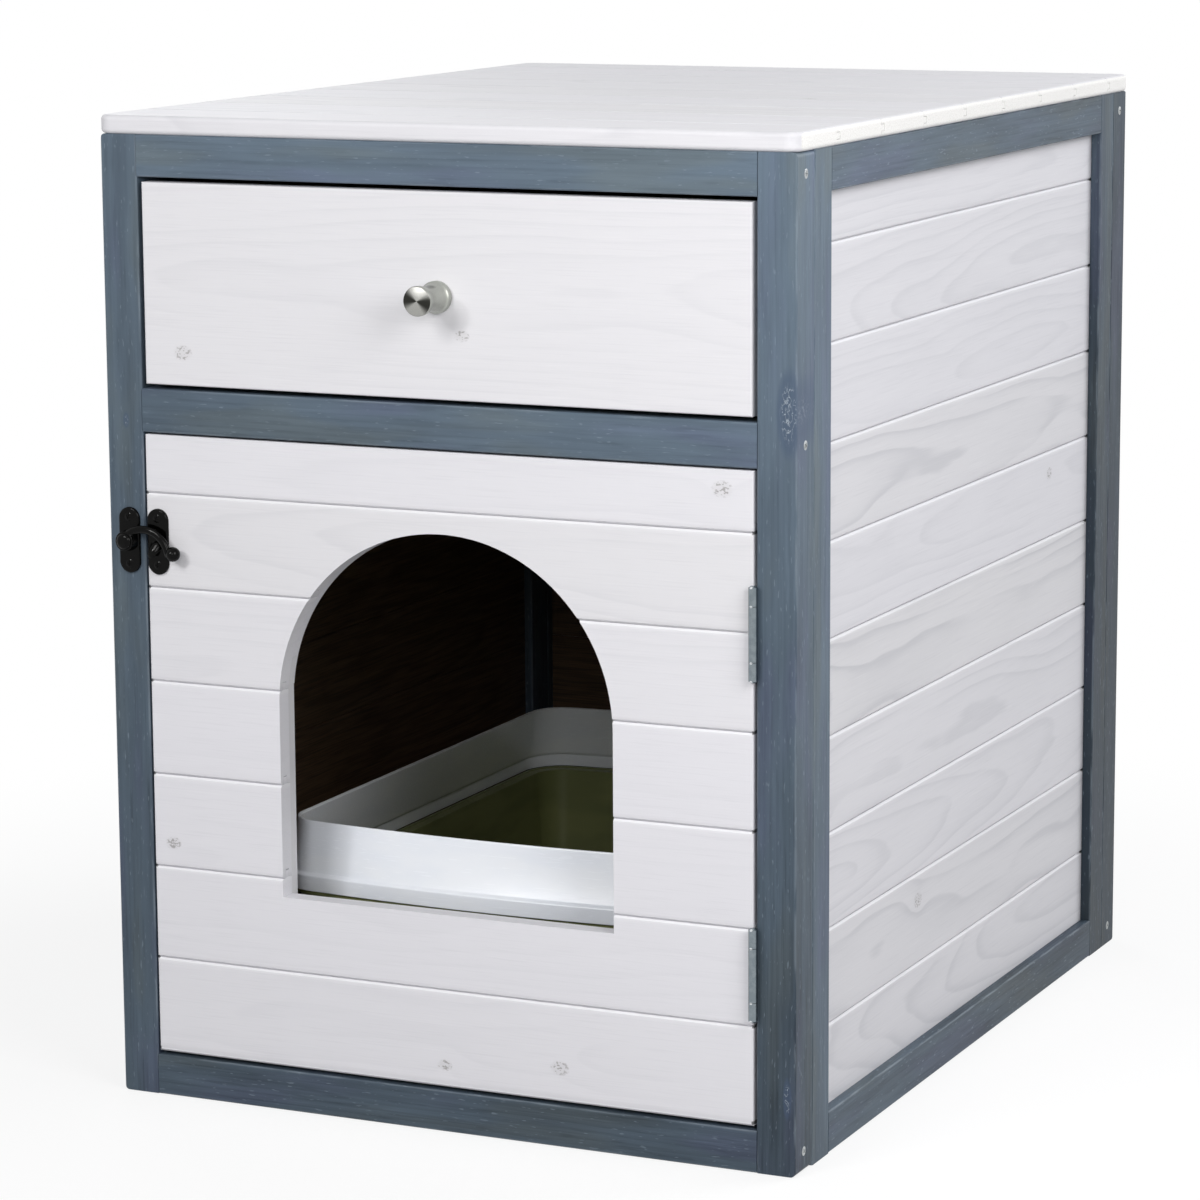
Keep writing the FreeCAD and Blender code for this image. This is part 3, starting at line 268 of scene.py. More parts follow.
def cross_head(bm, seat, facing, radius, proud, turn):
    """Adds a screw head with a cross recess. It stands proud of its seat and faces along facing."""
    grid = bmesh.ops.create_grid(bm, x_segments=9, y_segments=9, size=1.0)["verts"]
    faces = list({face for vert in grid for face in vert.link_faces})
    recess = [face for face in faces if min(map(abs, face.calc_center_median()[:2])) < 0.1
              and max(map(abs, face.calc_center_median()[:2])) < 0.6]
    edge = [e for e in {e for face in faces for e in face.edges} if e.is_boundary]
    skirt = bmesh.ops.extrude_edge_only(bm, edges=edge)["geom"]
    skirt = [part for part in skirt if isinstance(part, bmesh.types.BMVert)]
    for vert in grid:
        x, y, _ = vert.co
        vert.co = Vector((x * math.sqrt(1 - y * y / 2), y * math.sqrt(1 - x * x / 2), 0))
        vert.co.z = proud / radius * (1 - vert.co.length_squared ** 2)
    for vert in skirt:
        x, y, _ = vert.co
        vert.co = Vector((x * math.sqrt(1 - y * y / 2), y * math.sqrt(1 - x * x / 2), -0.25)) * 0.98
    sunk = bmesh.ops.inset_region(bm, faces=recess, thickness=0.03, depth=-0.3,
                                  use_even_offset=False)
    parts = {*grid, *skirt, *(vert for face in sunk["faces"] for vert in face.verts),
             *(vert for face in recess for vert in face.verts)}
    upright = Vector((0, 0, 1)).rotation_difference(Vector(facing)).to_matrix().to_4x4()
    place = Matrix.Translation(seat) @ upright @ Matrix.Rotation(turn, 4, "Z")
    bmesh.ops.transform(bm, matrix=place @ Matrix.Scale(radius, 4), verts=list(parts))


def set_in_place(bm, name, body, slot, finish, *nodes, crease=35, turn_out=True):
    """Makes the mesh a piece that rides on body and stands for the nodes of the CAD model."""
    if turn_out:
        bmesh.ops.recalc_face_normals(bm, faces=bm.faces)
    mesh = bpy.data.meshes.new(name)
    bm.to_mesh(mesh)
    bm.free()
    mesh.materials.append(finish)
    mesh.shade_smooth()
    mesh.set_sharp_from_angle(angle=math.radians(crease))
    piece = bpy.data.objects.new(name, mesh)
    bpy.context.scene.collection.objects.link(piece)
    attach(piece, body)
    if nodes:
        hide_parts(*nodes)
    return piece


screw_finish = zinc_finish("zinc_screw", colour(146, 150, 151), colour(184, 188, 190), 0.3)
half_width, head_radius, head_proud = 0.24, 0.003, 0.0003
front_stiles, rear_stiles = -0.289, 0.316
top_rails, middle_rail, bottom_rails = 0.6195, 0.456, 0.0135
heads = bmesh.new()
screw_places = [(front_stiles, top_rails), (front_stiles, middle_rail),
                (front_stiles, bottom_rails), (rear_stiles, top_rails), (rear_stiles, bottom_rails)]
for number, (y, z) in enumerate(screw_places):
    for side in (-1, 1):
        cross_head(heads, (side * half_width, y, z), (side, 0, 0), head_radius, head_proud,
                   0.4 + 1.1 * number + side)
set_in_place(heads, "frame_screw_heads", "carcase", "zinc_steel", screw_finish, "frame_screws",
             turn_out=False)


# ---------------------------------------------------------------- side and back planks
# Tongued and grooved softwood boards, 12 mm thick, that cover 61.8 mm each and sit in grooves of
# the frame. The faces have a thin white glaze that lets grey growth lines and knots show, and the
# sides towards the cabin are left in a dark brown stain.

def glaze_boards(name, order, first_joint, cover, seed, figure, pale, knots=(), inner=None,
                 ends=None, joint_highlight_and_shade=0.0, shaded_joint_ends=None):
    """White glaze on boards whose joints start at first_joint. Knots are (along, across, radius).

    pale is the glaze's shade from 0 to 255. inner is an axis, the limit under which a face is
    left brown, and -1 where that holds on both sides. ends is how far out the sawn ends lie.
    The next share sets the painted highlight on the rounded edge under each joint, with a weaker
    painted shade just over each joint. The last two places along the boards are where, beyond
    them, painted shade darkens the joints' ends as if they were open gaps.
    """
    ring_apart = 0.0068
    finish, start = new_finish(name)
    along, across, deep = timber_axes(start, order)
    board = start.sum("FLOOR", (across - first_joint) / cover)
    lot = start.node("ShaderNodeTexWhiteNoise", {"noise_dimensions": "1D"}, {"W": board + seed})
    lot = start.node("ShaderNodeSeparateColor", {}, {0: lot.out("Color")})
    first, second, third = lot.out("Red"), lot.out("Green"), lot.out("Blue")
    place = (along + first * 5.0, across, deep)
    wave = start.blots(place, (0.42, 0.11, 0.11), seed)
    ripple = start.blots(place, (0.1, 0.02, 0.02), seed + 7.7)
    fibre = start.blots(place, (0.04, 0.001, 0.001), seed + 13.1, 3.0)
    cloud = start.blots(place, (0.2, 0.024, 0.024), seed + 19.9)
    near_knot = 0.0
    dark_knot = 0.0
    for at_along, at_across, radius in knots:
        apart = ((along - at_along) / (radius * 1.35)) ** 2.0
        apart = apart + ((across - at_across) / radius) ** 2.0
        near_knot = 1 / (1 + apart * 0.3) + near_knot
        dark_knot = (1 - apart.rise(0.35, 1.5)) + dark_knot
    low_joint = first_joint + board * cover
    side = across - low_joint - cover * (0.1 + 0.8 * second)
    heart = 0.006 + third * 0.014 + wave * 0.05 + along * (first - 0.5) * 0.12
    ring = (side ** 2.0 + heart ** 2.0) ** 0.5 + ripple * 0.004 + near_knot * 0.0045
    ring = start.sum("FRACT", ring / ring_apart)
    late = (ring.rise(0.1, 0.9) * 0.4 + ring.rise(0.62, 0.9) * 0.6) * (1 - ring.rise(0.9, 1.0))
    strong = figure * (0.3 + 0.7 * third) * cloud.rise(0.3, 0.55)
    base = start.mixed(third, colour(pale, pale - 1, pale + 4),
                       colour(pale - 4, pale - 5, pale - 2))
    base = start.mixed(late * strong, base, colour(pale - 55, pale - 54, pale - 47))
    base = start.mixed(cloud.rise(0.45, 0.75) * figure * 0.14, base,
                       colour(pale - 34, pale - 33, pale - 27))
    base = start.mixed(fibre.rise(0.5, 0.78) * 0.16, base,
                       colour(pale - 34, pale - 35, pale - 29))
    base = start.mixed((1 - fibre.rise(0.22, 0.42)) * 0.25, base,
                       colour(pale + 10, pale + 9, pale + 12))
    # Painted highlight on the rounded edge under each joint, and painted shade just over each
    # joint.
    if joint_highlight_and_shade:
        under = 1 - (low_joint + cover - across).rise(0.0008, 0.0045)
        over = 1 - (across - low_joint).rise(0.0006, 0.004)
        base = start.mixed(under * joint_highlight_and_shade, base, colour(246, 246, 249))
        base = start.mixed(over * joint_highlight_and_shade * 0.5, base, colour(pale - 50, pale - 50, pale - 46))
    # Painted shade at the joints' ends, standing in for the shadow in the gaps there.
    if shaded_joint_ends is not None:
        joint = start.sum("MINIMUM", across - low_joint, low_joint + cover - across)
        past = (along - shaded_joint_ends[1]).rise(-0.0016, -0.0008)
        past = past + (1 - (along - shaded_joint_ends[0]).rise(0.0008, 0.0016))
        base = start.mixed(past * (1 - joint.rise(0.0006, 0.0016)) * 0.85, base, colour(58, 58, 58))
    if knots:
        crack = start.blots(place, (0.0021, 0.0014, 0.0014), seed + 37.0, 1.0)
        base = start.mixed(dark_knot * 0.14, base, colour(168, 164, 162))
        base = start.mixed(dark_knot * crack.rise(0.53, 0.62) * 0.6, base, colour(126, 121, 118))
    relief = fibre * 0.5 - late * 0.2
    if ends is not None:
        sawn = (abs(along) - ends).rise(-0.0003, 0.0002)
        pores = start.blots((along, across, deep), (0.02, 0.0012, 0.0009), seed + 29.0, 3.0)
        raw = start.mixed(pores.rise(0.3, 0.7), colour(249, 248, 246), colour(232, 230, 227))
        base = start.mixed(sawn, base, raw)
    if inner is not None:
        axis, limit, sign = inner
        part = (along, across, deep)[order.index(axis)]
        bare = (limit - (abs(part) if sign < 0 else part)).rise(-0.0003, 0.0003)
        brown = start.mixed(fibre.rise(0.35, 0.7), colour(104, 84, 64), colour(72, 58, 46))
        brown = start.mixed(late * 0.4, brown, colour(56, 46, 37))
        base = start.mixed(bare, base, brown)
    lay_on(start, base, 0.46 + 0.16 * fibre, relief, 0.3, 0.00025, specular_ior_level=0.35)
    return finish


plank_cover, lowest_joint = 0.0618, 0.0168
rear_stile_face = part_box("right_side_rear_stile")[0][1]
# The joints get painted shade at their rear ends only, so the place for the front ends lies far
# off.
# The sides' glaze is set greyer than the door's, a painted shade on the sides.
side_glaze = glaze_boards("white_glaze_sides", "YZX", lowest_joint, plank_cover, 4.0, 0.42, 221,
                          [(-0.0694, 0.122, 0.005), (0.19, 0.372, 0.004)],
                          inner=("X", 0.2214, -1), joint_highlight_and_shade=0.3, shaded_joint_ends=(-1.0, rear_stile_face))
paint_node("right_side_planks", side_glaze)
paint_node("left_side_planks", side_glaze)
back_glaze = glaze_boards("white_glaze_back", "XZY", lowest_joint, plank_cover, 57.0, 0.4, 222,
                          [(0.11, 0.29, 0.005)], inner=("Y", 0.3114, 1), joint_highlight_and_shade=0.3)
paint_node("rear_planks", back_glaze)


# ---------------------------------------------------------------- floor, shelf, runners and stop
# The cabin's floor is a thin board on glued cleats, and another thin board is the shelf under the
# drawer. The drawer slides between pine runners and kickers, and a pine strip behind the left
# stile stops the door.

def pine_finish(name, order, seed, pale, dark):
    finish, start = new_finish(name)
    along, across, deep = place = timber_axes(start, order)
    wave = start.blots(place, (0.2, 0.05, 0.05), seed)
    fibre = start.blots(place, (0.05, 0.001, 0.001), seed + 5.0, 3.0)
    cloud = start.blots(place, (0.15, 0.03, 0.03), seed + 15.0)
    ring = start.sum("FRACT", (across + deep * 0.6 + wave * 0.05) / 0.007)
    late = ring.rise(0.3, 0.9) * (1 - ring.rise(0.92, 1.0))
    base = start.mixed(cloud.rise(0.35, 0.65), pale, dark)
    base = start.mixed(late * 0.3, base, colour(150, 112, 70))
    base = start.mixed(fibre.rise(0.5, 0.75) * 0.3, base, colour(160, 126, 86))
    lay_on(start, base, 0.55 + 0.15 * fibre, fibre * 0.5 - late * 0.3, 0.4, 0.0003,
           specular_ior_level=0.3)
    return finish


bare_pine_back = pine_finish("bare_pine_running_back", "YXZ", 2.0,
                             colour(206, 182, 140), colour(194, 166, 122))
pale_pine, dark_pine = colour(210, 186, 146), colour(196, 170, 128)
bare_pine_across = pine_finish("bare_pine_running_across", "XZY", 6.0, pale_pine, dark_pine)
bare_pine_upright = pine_finish("bare_pine_upright", "ZXY", 9.0, pale_pine, dark_pine)
for plain_board in ("floor_panel", "floor_cleats", "drawer_shelf",
                    "drawer_runners", "drawer_kickers"):
    paint_node(plain_board, bare_pine_back)
paint_node("door_stop", bare_pine_upright)


# ---------------------------------------------------------------- top
# Nine tongued and grooved boards run from side to side and make a slab that oversails the frame by
# 2 mm. It has the same white glaze on its faces, and the sawn board ends at the sides took up less
# of it, so they look warmer.

top_board_cover, top_joint, sawn_end = 0.075, -0.3194, 0.2411
top_glaze = glaze_boards("white_glaze_top", "XYZ", top_joint, top_board_cover, 23.0, 0.2, 231,
                         [(0.13, -0.01, 0.004)], ends=sawn_end)
for board in ("top_front_board", "top_middle_boards", "top_rear_board"):
    paint_node(board, top_glaze)


# ---------------------------------------------------------------- door
# Seven of the same tongued and grooved boards lie across, glued and pinned to a wide batten at each
# side, flush with the way in, and one above it. The arch is sawn through the boards and that top
# batten together, and all of it is glazed white.

door_lowest_joint = 0.0318
door_knots = [(0.1912, 0.4285, 0.0048), (-0.1982, 0.1716, 0.004),
              (-0.0018, 0.0442, 0.0036), (0.0795, 0.0518, 0.0045)]
door_low, door_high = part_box("door_plank_4")
door_glaze = glaze_boards("white_glaze_door", "XZY", door_lowest_joint, plank_cover, 41.0,
                          0.13, 232, door_knots, joint_highlight_and_shade=0.45,
                          shaded_joint_ends=(door_low[0], door_high[0]))
for number in range(1, 8):
    paint_node(f"door_plank_{number}", door_glaze)
batten_glaze = glaze_boards("white_glaze_battens", "ZXY", -0.3125, 0.11, 47.0, 0.2, 229)
for batten in ("door_left_batten", "door_right_batten"):
    paint_node(batten, batten_glaze)
top_batten_glaze = glaze_boards("white_glaze_top_batten", "XZY", 0.3, 0.2, 49.0, 0.2, 229)
paint_node("door_top_batten", top_batten_glaze)


# ---------------------------------------------------------------- door hinges
# Two small butt hinges of zinc-plated steel. Their leaves are folded out of sight between the door
# and the right stile, and the rolled barrels with their pins stand in front of the gap.

barrel_x, hinge_feet = 0.2126, (0.0985, 0.312)
knuckle_ends = [foot + up for foot in hinge_feet for up in (0, 0.0116, 0.0464, 0.058)]
# Painted highlights at the knuckle ends stand for the glints on their rounded edges.
barrel_finish = zinc_finish("zinc_hinge", colour(124, 134, 140), colour(136, 145, 150), 0.2,
                            [(barrel_x, height) for height in knuckle_ends])
for part in ("hinge_frame_leaves", "hinge_door_leaves", "hinge_pins",
             "hinge_frame_screws", "hinge_door_screws"):
    paint_node(part, barrel_finish)


# ---------------------------------------------------------------- latch
# A cast latch with a thick gloss black coat: a round-ended plate on the stile carries a curved
# lever on a pivot, and the lever drops behind a horn on a second plate, screwed to the door.

latch_black, start = new_finish("gloss_black_latch")
orange_peel = start.blots(timber_axes(start, "XYZ"), (0.0022, 0.0022, 0.0022), 3.0)
lay_on(start, start.mixed(orange_peel.rise(0.3, 0.7), colour(1, 1, 1), colour(5, 5, 4)),
       0.06 + 0.08 * orange_peel, orange_peel, 0.25, 0.0001, specular_ior_level=0.11)

plate_width, plate_height, plate_thick = 0.015, 0.043, 0.0022
hub_at = Vector((-0.225, 0, 0.371))
keeper_at = Vector((-0.2039, 0, 0.371))
front_face = -0.303


def stand_up(bm, at, out=front_face):
    """Turns what was drawn flat, with y up and z outwards, to stand on the front at that place."""
    place = Matrix.Translation((at.x, out, at.z)) @ Matrix.Rotation(math.pi / 2, 4, "X")
    bmesh.ops.transform(bm, matrix=place, verts=bm.verts)


def round_ended_plate(bm):
    ring = bmesh.ops.create_circle(bm, cap_ends=True, segments=48, radius=plate_width / 2,
                                   matrix=Matrix.Rotation(math.pi / 48, 4, "Z"))["verts"]
    for vert in ring:
        vert.co.y += math.copysign((plate_height - plate_width) / 2, vert.co.y)
    raised = bmesh.ops.extrude_face_region(bm, geom=list(bm.faces))["geom"]
    lid = [part for part in raised if isinstance(part, bmesh.types.BMFace)][0]
    bmesh.ops.translate(bm, vec=(0, 0, plate_thick), verts=lid.verts)
    bmesh.ops.bevel(bm, geom=list(lid.edges), offset=0.0011, offset_type="OFFSET", segments=5,
                    affect="EDGES", profile=0.5, material=-1)


def latch_screws(bm):
    for high in (-0.0153, 0.0153):
        cross_head(bm, (0, high, plate_thick), (0, 0, 1), 0.0027, 0.0004, 0.5 + 40 * high)


for plate_name, body, at in (("latch_plate", "carcase", hub_at),
                             ("latch_keeper", "door", keeper_at)):
    plate = bmesh.new()
    round_ended_plate(plate)
    latch_screws(plate)
    stand_up(plate, at)
    set_in_place(plate, plate_name + "_cast", body, "black_latch", latch_black,
                 plate_name, plate_name + "_screws", turn_out=False)

horn = bmesh.new()
foot = bmesh.ops.create_circle(horn, cap_ends=True, segments=32, radius=0.0046)["verts"]
bmesh.ops.translate(horn, vec=(-0.001, -0.0035, plate_thick - 0.0004), verts=foot)
tip = list(horn.faces)[0]
for lift, lean_x, lean_y, wide in ((0.0011, -0.0003, -0.0007, 0.86),
                                   (0.0012, -0.0005, -0.0012, 0.86),
                                   (0.0011, -0.0006, -0.0014, 0.84),
                                   (0.0008, -0.0005, -0.0011, 0.78),
                                   (0.0004, -0.0002, -0.0004, 0.6)):
    grown = bmesh.ops.extrude_face_region(horn, geom=[tip])["geom"]
    tip = [part for part in grown if isinstance(part, bmesh.types.BMFace)][0]
    bmesh.ops.translate(horn, vec=(lean_x, lean_y, lift), verts=tip.verts)
    middle = tip.calc_center_median()
    bmesh.ops.scale(horn, vec=(wide, wide, 1), space=Matrix.Translation(-middle), verts=tip.verts)
stand_up(horn, keeper_at)
set_in_place(horn, "latch_keeper_horn", "door", "black_latch", latch_black, crease=50)


def lathe(bm, outline, steps):
    """Turns an outline, a row of (radius, height), once round the Z axis."""
    (radius, height), *rest = outline
    drawn = bmesh.ops.create_vert(bm, co=(radius, 0, height))["vert"]
    for radius, height in rest:
        new = bmesh.ops.extrude_vert_indiv(bm, verts=drawn[-1:])["verts"]
        new[0].co = Vector((radius, 0, height))
        drawn = drawn + new
    bmesh.ops.spin(bm, geom=list(bm.verts) + list(bm.edges), cent=(0, 0, 0), axis=(0, 0, 1),
                   angle=math.tau, steps=steps, use_merge=True, use_duplicate=False)
    bmesh.ops.remove_doubles(bm, verts=bm.verts, dist=1e-6)


cap = bmesh.new()
lathe(cap, [(0.0053, 0.0078), (0.0053, 0.0088), (0.0051, 0.0094), (0.0045, 0.01),
            (0.0035, 0.0105), (0.002, 0.01075), (0.0, 0.0108)], 40)
stand_up(cap, hub_at)
set_in_place(cap, "latch_pivot_cap", "carcase", "black_latch", latch_black, "latch_pivot")

lever = bmesh.new()
arc_centre = Vector((0.013, -0.0102, 0))
arm_out, arm_radius, arm_half_wide, arm_half_thick = 0.0065, 0.0185, 0.00265, 0.0021
bmesh.ops.create_cone(lever, cap_ends=True, segments=48, radius1=0.0071, radius2=0.0064,
                      depth=0.0064, matrix=Matrix.Translation((0, 0, 0.0056)))
section = bmesh.ops.create_circle(lever, cap_ends=False, segments=20, radius=1.0)["verts"]
first_angle, last_angle = math.radians(8), math.radians(140)
towards = Matrix.Rotation(first_angle, 4, "Z") @ Matrix.Translation((arm_radius, 0, arm_out))
bmesh.ops.transform(lever, matrix=towards @ Matrix.Rotation(math.pi / 2, 4, "X") @
                    Matrix.Diagonal((arm_half_wide, arm_half_thick, 1, 1)), verts=section)
bmesh.ops.translate(lever, vec=arc_centre, verts=section)
ring_edges = list({edge for vert in section for edge in vert.link_edges})
bmesh.ops.spin(lever, geom=section + ring_edges, cent=arc_centre, axis=(0, 0, 1),
               angle=last_angle - first_angle, steps=30, use_duplicate=False)
bmesh.ops.holes_fill(lever, edges=[edge for edge in lever.edges if edge.is_boundary], sides=30)
neck_from = arc_centre + Matrix.Rotation(first_angle, 3, "Z") @ Vector((arm_radius, 0, 0))
ball_at = Vector((0.036, -0.0062, 0.0083))
neck_from.z = arm_out
lean = ball_at - neck_from
turned = Vector((0, 0, 1)).rotation_difference(lean).to_matrix().to_4x4()
bmesh.ops.create_cone(lever, cap_ends=True, segments=24, radius1=0.0023, radius2=0.0036,
                      depth=lean.length * 1.3,
                      matrix=Matrix.Translation((neck_from + ball_at) / 2) @ turned)
bmesh.ops.create_icosphere(lever, subdivisions=3, radius=0.0049,
                           matrix=Matrix.Translation(ball_at))
stand_up(lever, hub_at)
bmesh.ops.recalc_face_normals(lever, faces=lever.faces)
rough_lever = bpy.data.meshes.new("rough_lever")
lever.to_mesh(rough_lever)
lever.free()
casting = bpy.data.objects.new("casting", rough_lever)
bpy.context.scene.collection.objects.link(casting)
melt = casting.modifiers.new("melt", "REMESH")
melt.mode = "VOXEL"
melt.voxel_size = 0.00034
soften = casting.modifiers.new("soften", "SMOOTH")
soften.factor = 0.5
soften.iterations = 10
bpy.context.view_layer.update()
graph = bpy.context.evaluated_depsgraph_get()
cast_mesh = bpy.data.meshes.new_from_object(casting.evaluated_get(graph))
cast_lever = bmesh.new()
cast_lever.from_mesh(cast_mesh)
bpy.data.objects.remove(casting)
set_in_place(cast_lever, "latch_lever_cast", "latch_lever", "black_latch", latch_black,
             "latch_lever", crease=80)


# ---------------------------------------------------------------- drawer
# One wide board closes a plain box of thin pine sides, glued at the corners, with a loose bottom.
# The front has the same white glaze as the door and lies flush in the frame.

drawer_glaze = glaze_boards("white_glaze_drawer", "XZY", 0.44, 0.2, 71.0, 0.1, 233,
                            [(-0.1828, 0.4944, 0.0045), (0.0165, 0.514, 0.0035)])
paint_node("drawer_front", drawer_glaze)
for part in ("drawer_left_side", "drawer_right_side", "drawer_bottom"):
    paint_node(part, bare_pine_back)
paint_node("drawer_back", bare_pine_across)


# ---------------------------------------------------------------- knob
# A spool turned from one bar of stainless steel: a wide foot, a hollow waist and a flat round head.
# The lathe left fine rings all over it, and one screw from inside the drawer holds it.

knob_height = 0.5377
knob_finish, start = new_finish("turned_stainless_knob")
across, deep, high = timber_axes(start, "XYZ")
high = high - knob_height
reach = (across ** 2.0 + high ** 2.0) ** 0.5
ring_noise = start.node("ShaderNodeTexNoise", {"noise_dimensions": "1D"},
                        {"W": reach * 9000 + deep * 7000, "Scale": 1.0, "Detail": 3.0})
quarter = start.sum("ARCTAN2", high, across)
painted_reflection_wedge = start.sum("COSINE", quarter * 2 + 0.35).rise(-0.35, 0.95)
flat_face = 1 - deep.rise(-0.3317, -0.3312)
base = start.mixed(ring_noise.rise(0.3, 0.7), colour(166, 168, 161), colour(186, 188, 181))
turned_face = start.mixed(ring_noise.rise(0.3, 0.7),
                          colour(148, 148, 144), colour(172, 172, 168))
base = start.mixed(flat_face, base, turned_face)
# Painted shade on the top of the waist, under the rim of the head.
painted_waist_shade = (high / reach).rise(0.8, 0.97) * deep.rise(-0.3255, -0.322)
painted_waist_shade = painted_waist_shade * (1 - deep.rise(-0.315, -0.3115))
base = start.mixed(painted_waist_shade * 0.8, base, colour(88, 90, 84))
# Painted reflection: two dark wedges across the flat face, set by the angle round the axis.
base = start.mixed(painted_reflection_wedge * flat_face * 0.95, base, colour(30, 30, 26))
lay_on(start, base, 0.24 + 0.2 * ring_noise, ring_noise, 0.5, 0.00006, metallic=1.0)

waist_radius, waist_curve, waist_at = 0.0078, 0.018, 0.0148
waist_from, waist_to = 0.0052, 0.0243
knob_outline = [(0.0, 0.0), (0.0097, 0.0), (0.01, 0.0002), (0.0102, 0.0008), (0.0102, 0.0042),
                (0.01, 0.0048), (0.0095, waist_from)]
for step in range(1, 12):
    height = waist_from + (waist_to - waist_from) * step / 12
    hollow = math.sqrt(waist_curve ** 2 - (height - waist_at) ** 2 * 0.62)
    knob_outline.append((waist_radius + waist_curve - hollow, height))
knob_outline += [(0.0091, 0.0245), (0.0094, 0.0250), (0.0094, 0.0282), (0.0092, 0.0287),
                 (0.0087, 0.0290), (0.0, 0.0290)]
knob = bmesh.new()
lathe(knob, knob_outline, 64)
stand_up(knob, Vector((0, 0, knob_height)))
set_in_place(knob, "turned_knob", "drawer", "brushed_knob", knob_finish, "drawer_knob", crease=40)
paint_node("drawer_knob_screw", screw_finish)


# ---------------------------------------------------------------- litter tray
# A deep olive pan of moulded plastic stands on the floor, and a loose white rim snaps over its lip
# to keep the litter in. Both bow outwards at the front and back, and taper so that they nest.

def tray_plan(bm, inset, height, down):
    """One level face with the tray's outline, inset all round, and its front and back bowed out."""
    half, front, back = 0.157 - inset, -0.257 + inset, 0.175 - inset
    round_corner, bow = 0.028 - inset, 0.0107
    sheet = bmesh.ops.create_grid(bm, x_segments=1, y_segments=1, size=1.0)["verts"]
    for vert in sheet:
        vert.co = Vector((vert.co.x * half, back - bow if vert.co.y > 0 else front + bow, height))
    bmesh.ops.bevel(bm, geom=sheet, offset=round_corner, offset_type="OFFSET", segments=14,
                    affect="VERTICES", profile=0.5, material=-1)
    long_edges = [edge for edge in bm.edges if edge.calc_length() > 0.1]
    bmesh.ops.subdivide_edges(bm, edges=long_edges, cuts=19)
    for vert in bm.verts:
        swell = bow * (1 - (vert.co.x / half) ** 2)
        vert.co.y += swell if vert.co.y > -0.04 else -swell
    if down:
        bmesh.ops.reverse_faces(bm, faces=bm.faces)
    return list(bm.faces)


def tray_wall(bm, face, levels):
    """Carries the outline in and up or down through the levels, each a step in and a step on."""
    for step_in, step_on in levels:
        bmesh.ops.inset_region(bm, faces=face, thickness=step_in, depth=step_on, use_boundary=True,
                               use_even_offset=True)


def plastic_finish(name, pale, dark, rough):
    finish, start = new_finish(name)
    place = timber_axes(start, "XYZ")
    drift = start.blots(place, (0.06, 0.06, 0.02), 2.0)
    grain = start.blots(place, (0.0007, 0.0007, 0.0007), 8.0)
    scratch = start.blots(place, (0.03, 0.0009, 0.0009), 14.0)
    base = start.mixed(drift.rise(0.35, 0.65), pale, dark)
    lay_on(start, base, rough + 0.1 * drift + 0.12 * scratch.rise(0.6, 0.75), grain, 0.1, 0.00008,
           specular_ior_level=0.5)
    return finish


def wall_of(piece, thick, edge):
    wall = piece.modifiers.new("wall", "SOLIDIFY")
    wall.thickness = thick
    wall.offset = -1
    wall.use_even_offset = True
    soft = piece.modifiers.new("soft_edge", "BEVEL")
    soft.width = edge
    soft.segments = 3
    soft.limit_method = "ANGLE"
    soft.angle_limit = math.radians(35)
    soft.harden_normals = False


rim_foot, wall_thick = 0.134, 0.0026
rim_skin = bmesh.new()
lid = tray_plan(rim_skin, 0.0, rim_foot, False)
tray_wall(rim_skin, lid, [(0.0, 0.0105), (0.0024, 0.0012), (0.0006, 0.0008), (0.0044, 0.032),
                          (0.0006, 0.0015)])
bmesh.ops.delete(rim_skin, geom=lid, context="FACES")
rim_white = plastic_finish("white_rim_plastic", colour(240, 243, 248), colour(235, 239, 246), 0.2)
rim = set_in_place(rim_skin, "tray_spill_rim", "tray", "rim_plastic", rim_white, "spill_rim",
                   turn_out=False)
wall_of(rim, wall_thick, 0.0007)

pan_skin = bmesh.new()
base_face = tray_plan(pan_skin, 0.003, rim_foot, True)
tray_wall(pan_skin, base_face, [(0.0, 0.003), (0.006, 0.0005), (0.0045, 0.096), (0.0015, 0.0055),
                                (0.003, 0.003)])
pan_olive = plastic_finish("olive_pan_plastic", colour(128, 132, 86), colour(116, 121, 78), 0.35)
pan = set_in_place(pan_skin, "tray_litter_pan", "tray", "pan_plastic", pan_olive, "litter_pan",
                   turn_out=False)
wall_of(pan, wall_thick, 0.0006)


# ---------------------------------------------------------------- studio
# A white sweep under soft lamps: three stand in front of the cabinet, one lights its right side,
# one its back, and a small one gives the metal its sparks. The camera has a long lens, as for a
# catalogue.

def plainly_seen(start):
    """1 for what the camera, a mirror or glass sees, and 0 for the light that falls on things."""
    ray = start.node("ShaderNodeLightPath")
    return start.sum("MAXIMUM", ray.out("Is Camera Ray"),
                     start.sum("MAXIMUM", ray.out("Is Glossy Ray"), ray.out("Is Transmission Ray")))


white = (1, 1, 1, 1)
world = bpy.data.worlds.new("studio_sky")
bpy.context.scene.world = world
world.use_nodes = True
world.node_tree.nodes.clear()
sky = Strand(world.node_tree)
sky_shade = sky.mixed(plainly_seen(sky), (0.23, 0.235, 0.24, 1), white)
glow = sky.node("ShaderNodeBackground", {}, {"Color": sky_shade, "Strength": 1.0})
sky.node("ShaderNodeOutputWorld", {}, {"Surface": glow})

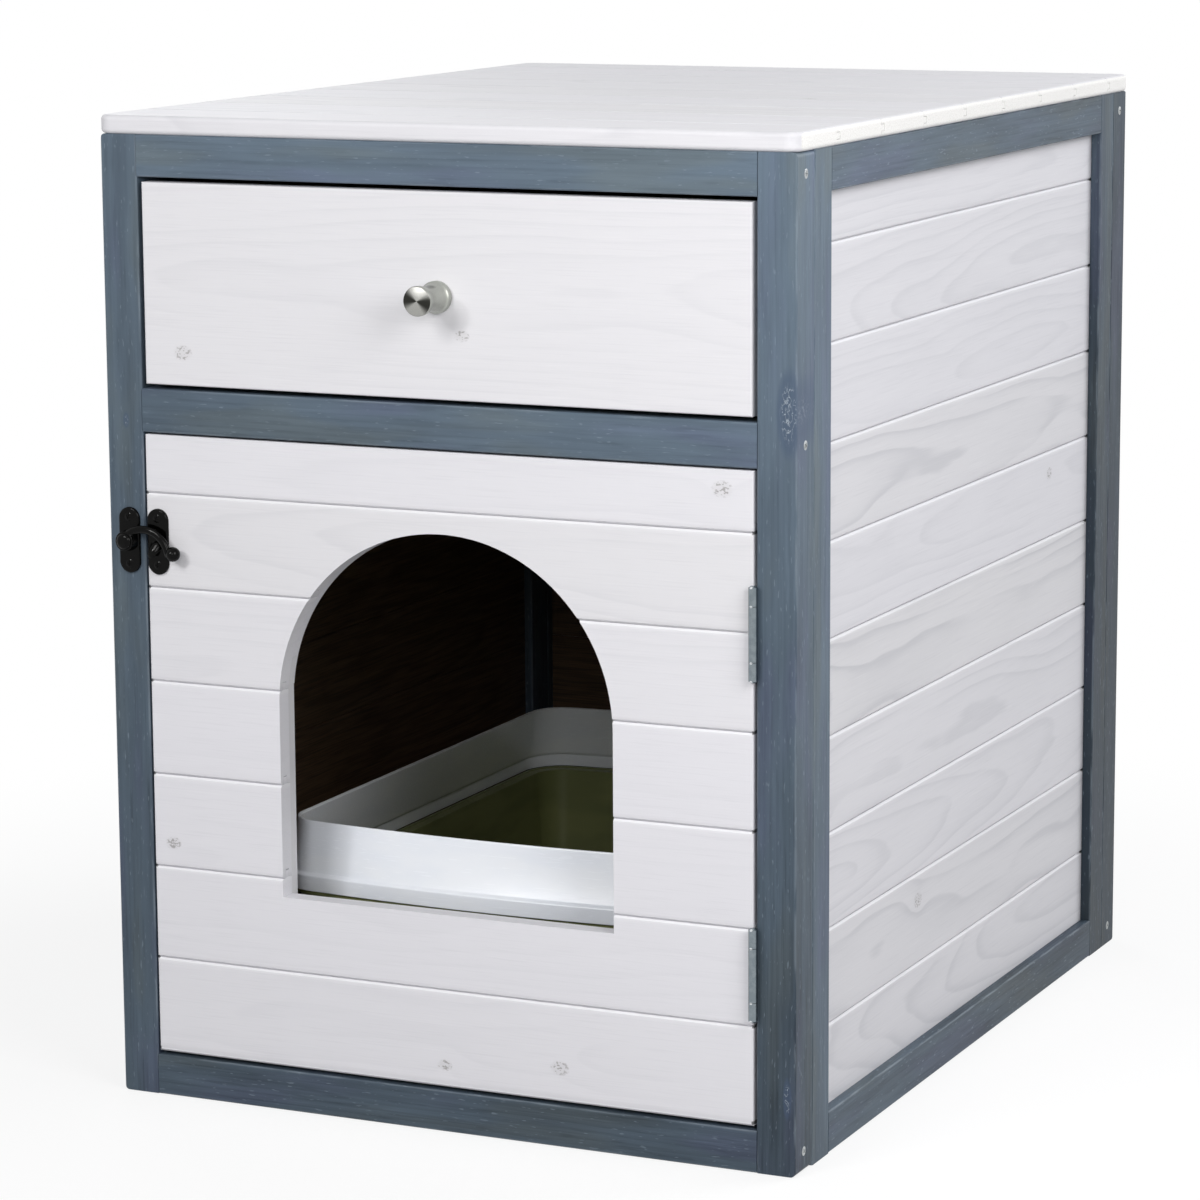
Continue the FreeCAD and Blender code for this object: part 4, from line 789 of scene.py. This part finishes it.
floor_finish, start = new_finish("white_sweep")
seen = plainly_seen(start)
across, deep, _ = timber_axes(start, "XYZ")
far = (across ** 2.0 + deep ** 2.0) ** 0.5
paper_shade = start.mixed(seen, colour(176, 176, 177), white)
paper = start.node("ShaderNodeBsdfDiffuse", {}, {"Color": paper_shade})
light = start.node("ShaderNodeEmission", {}, {"Color": white, "Strength": 1.0})
shade_kept = 0.2 * (1 - far.rise(0.4, 1.0))
sweep = start.node("ShaderNodeMixShader", {}, {0: seen * (1 - shade_kept), 1: paper, 2: light})
start.node("ShaderNodeOutputMaterial", {}, {"Surface": sweep})
sweep_mesh = bpy.data.meshes.new("sweep")
paper_roll = bmesh.new()
bmesh.ops.create_grid(paper_roll, x_segments=8, y_segments=8, size=30.0)
bmesh.ops.translate(paper_roll, vec=(0, 0, -0.0005), verts=paper_roll.verts)
paper_roll.to_mesh(sweep_mesh)
paper_roll.free()
sweep_mesh.materials.append(floor_finish)
floor = bpy.data.objects.new("studio_floor", sweep_mesh)
bpy.context.scene.collection.objects.link(floor)


def soft_lamp(name, at, size, watts, tint, aim=(0, -0.1, 0.33)):
    lamp = bpy.data.lights.new(name, "AREA")
    lamp.shape = "SQUARE"
    lamp.size = size
    lamp.energy = watts
    lamp.color = tint
    holder = bpy.data.objects.new(name, lamp)
    bpy.context.scene.collection.objects.link(holder)
    holder.location = at
    holder.rotation_euler = (Vector(aim) - Vector(at)).to_track_quat("-Z", "Y").to_euler()


soft_lamp("left_lamp", (-0.5, -2.35, 1.7), 0.7, 17.2, (1.0, 0.99, 0.98))
soft_lamp("right_lamp", (1.12, -0.91, 1.0), 0.7, 9.6, (1.0, 0.995, 0.99))
soft_lamp("front_lamp", (0.75, -2.6, 1.2), 0.7, 9, (1.0, 0.995, 0.99))
soft_lamp("side_lamp", (1.41, 1.2, 1.5), 1.2, 22.9, (0.98, 0.99, 1.0))
soft_lamp("back_lamp", (-1.9, 2.0, 1.7), 1.3, 14, (0.98, 0.99, 1.0))
soft_lamp("spark_lamp", (-0.8, -2.1, 1.3), 0.22, 6.5, (1.0, 1.0, 1.0))

lens = bpy.data.cameras.new("catalogue_camera")
lens.lens = 128.72
lens.sensor_width = 36.0
camera = bpy.data.objects.new("catalogue_camera", lens)
bpy.context.scene.collection.objects.link(camera)
stand = Vector((1.1977, -2.6679, 0.8248))
facing = (Vector((0.1094, -0.303, 0.3545)) - stand).to_track_quat("-Z", "Y").to_matrix().to_4x4()
tilt = Matrix.Rotation(math.radians(-0.352), 4, "Z")
camera.matrix_world = Matrix.Translation(stand) @ facing @ tilt
bpy.context.scene.camera = camera
bpy.context.scene.view_settings.view_transform = "Standard"
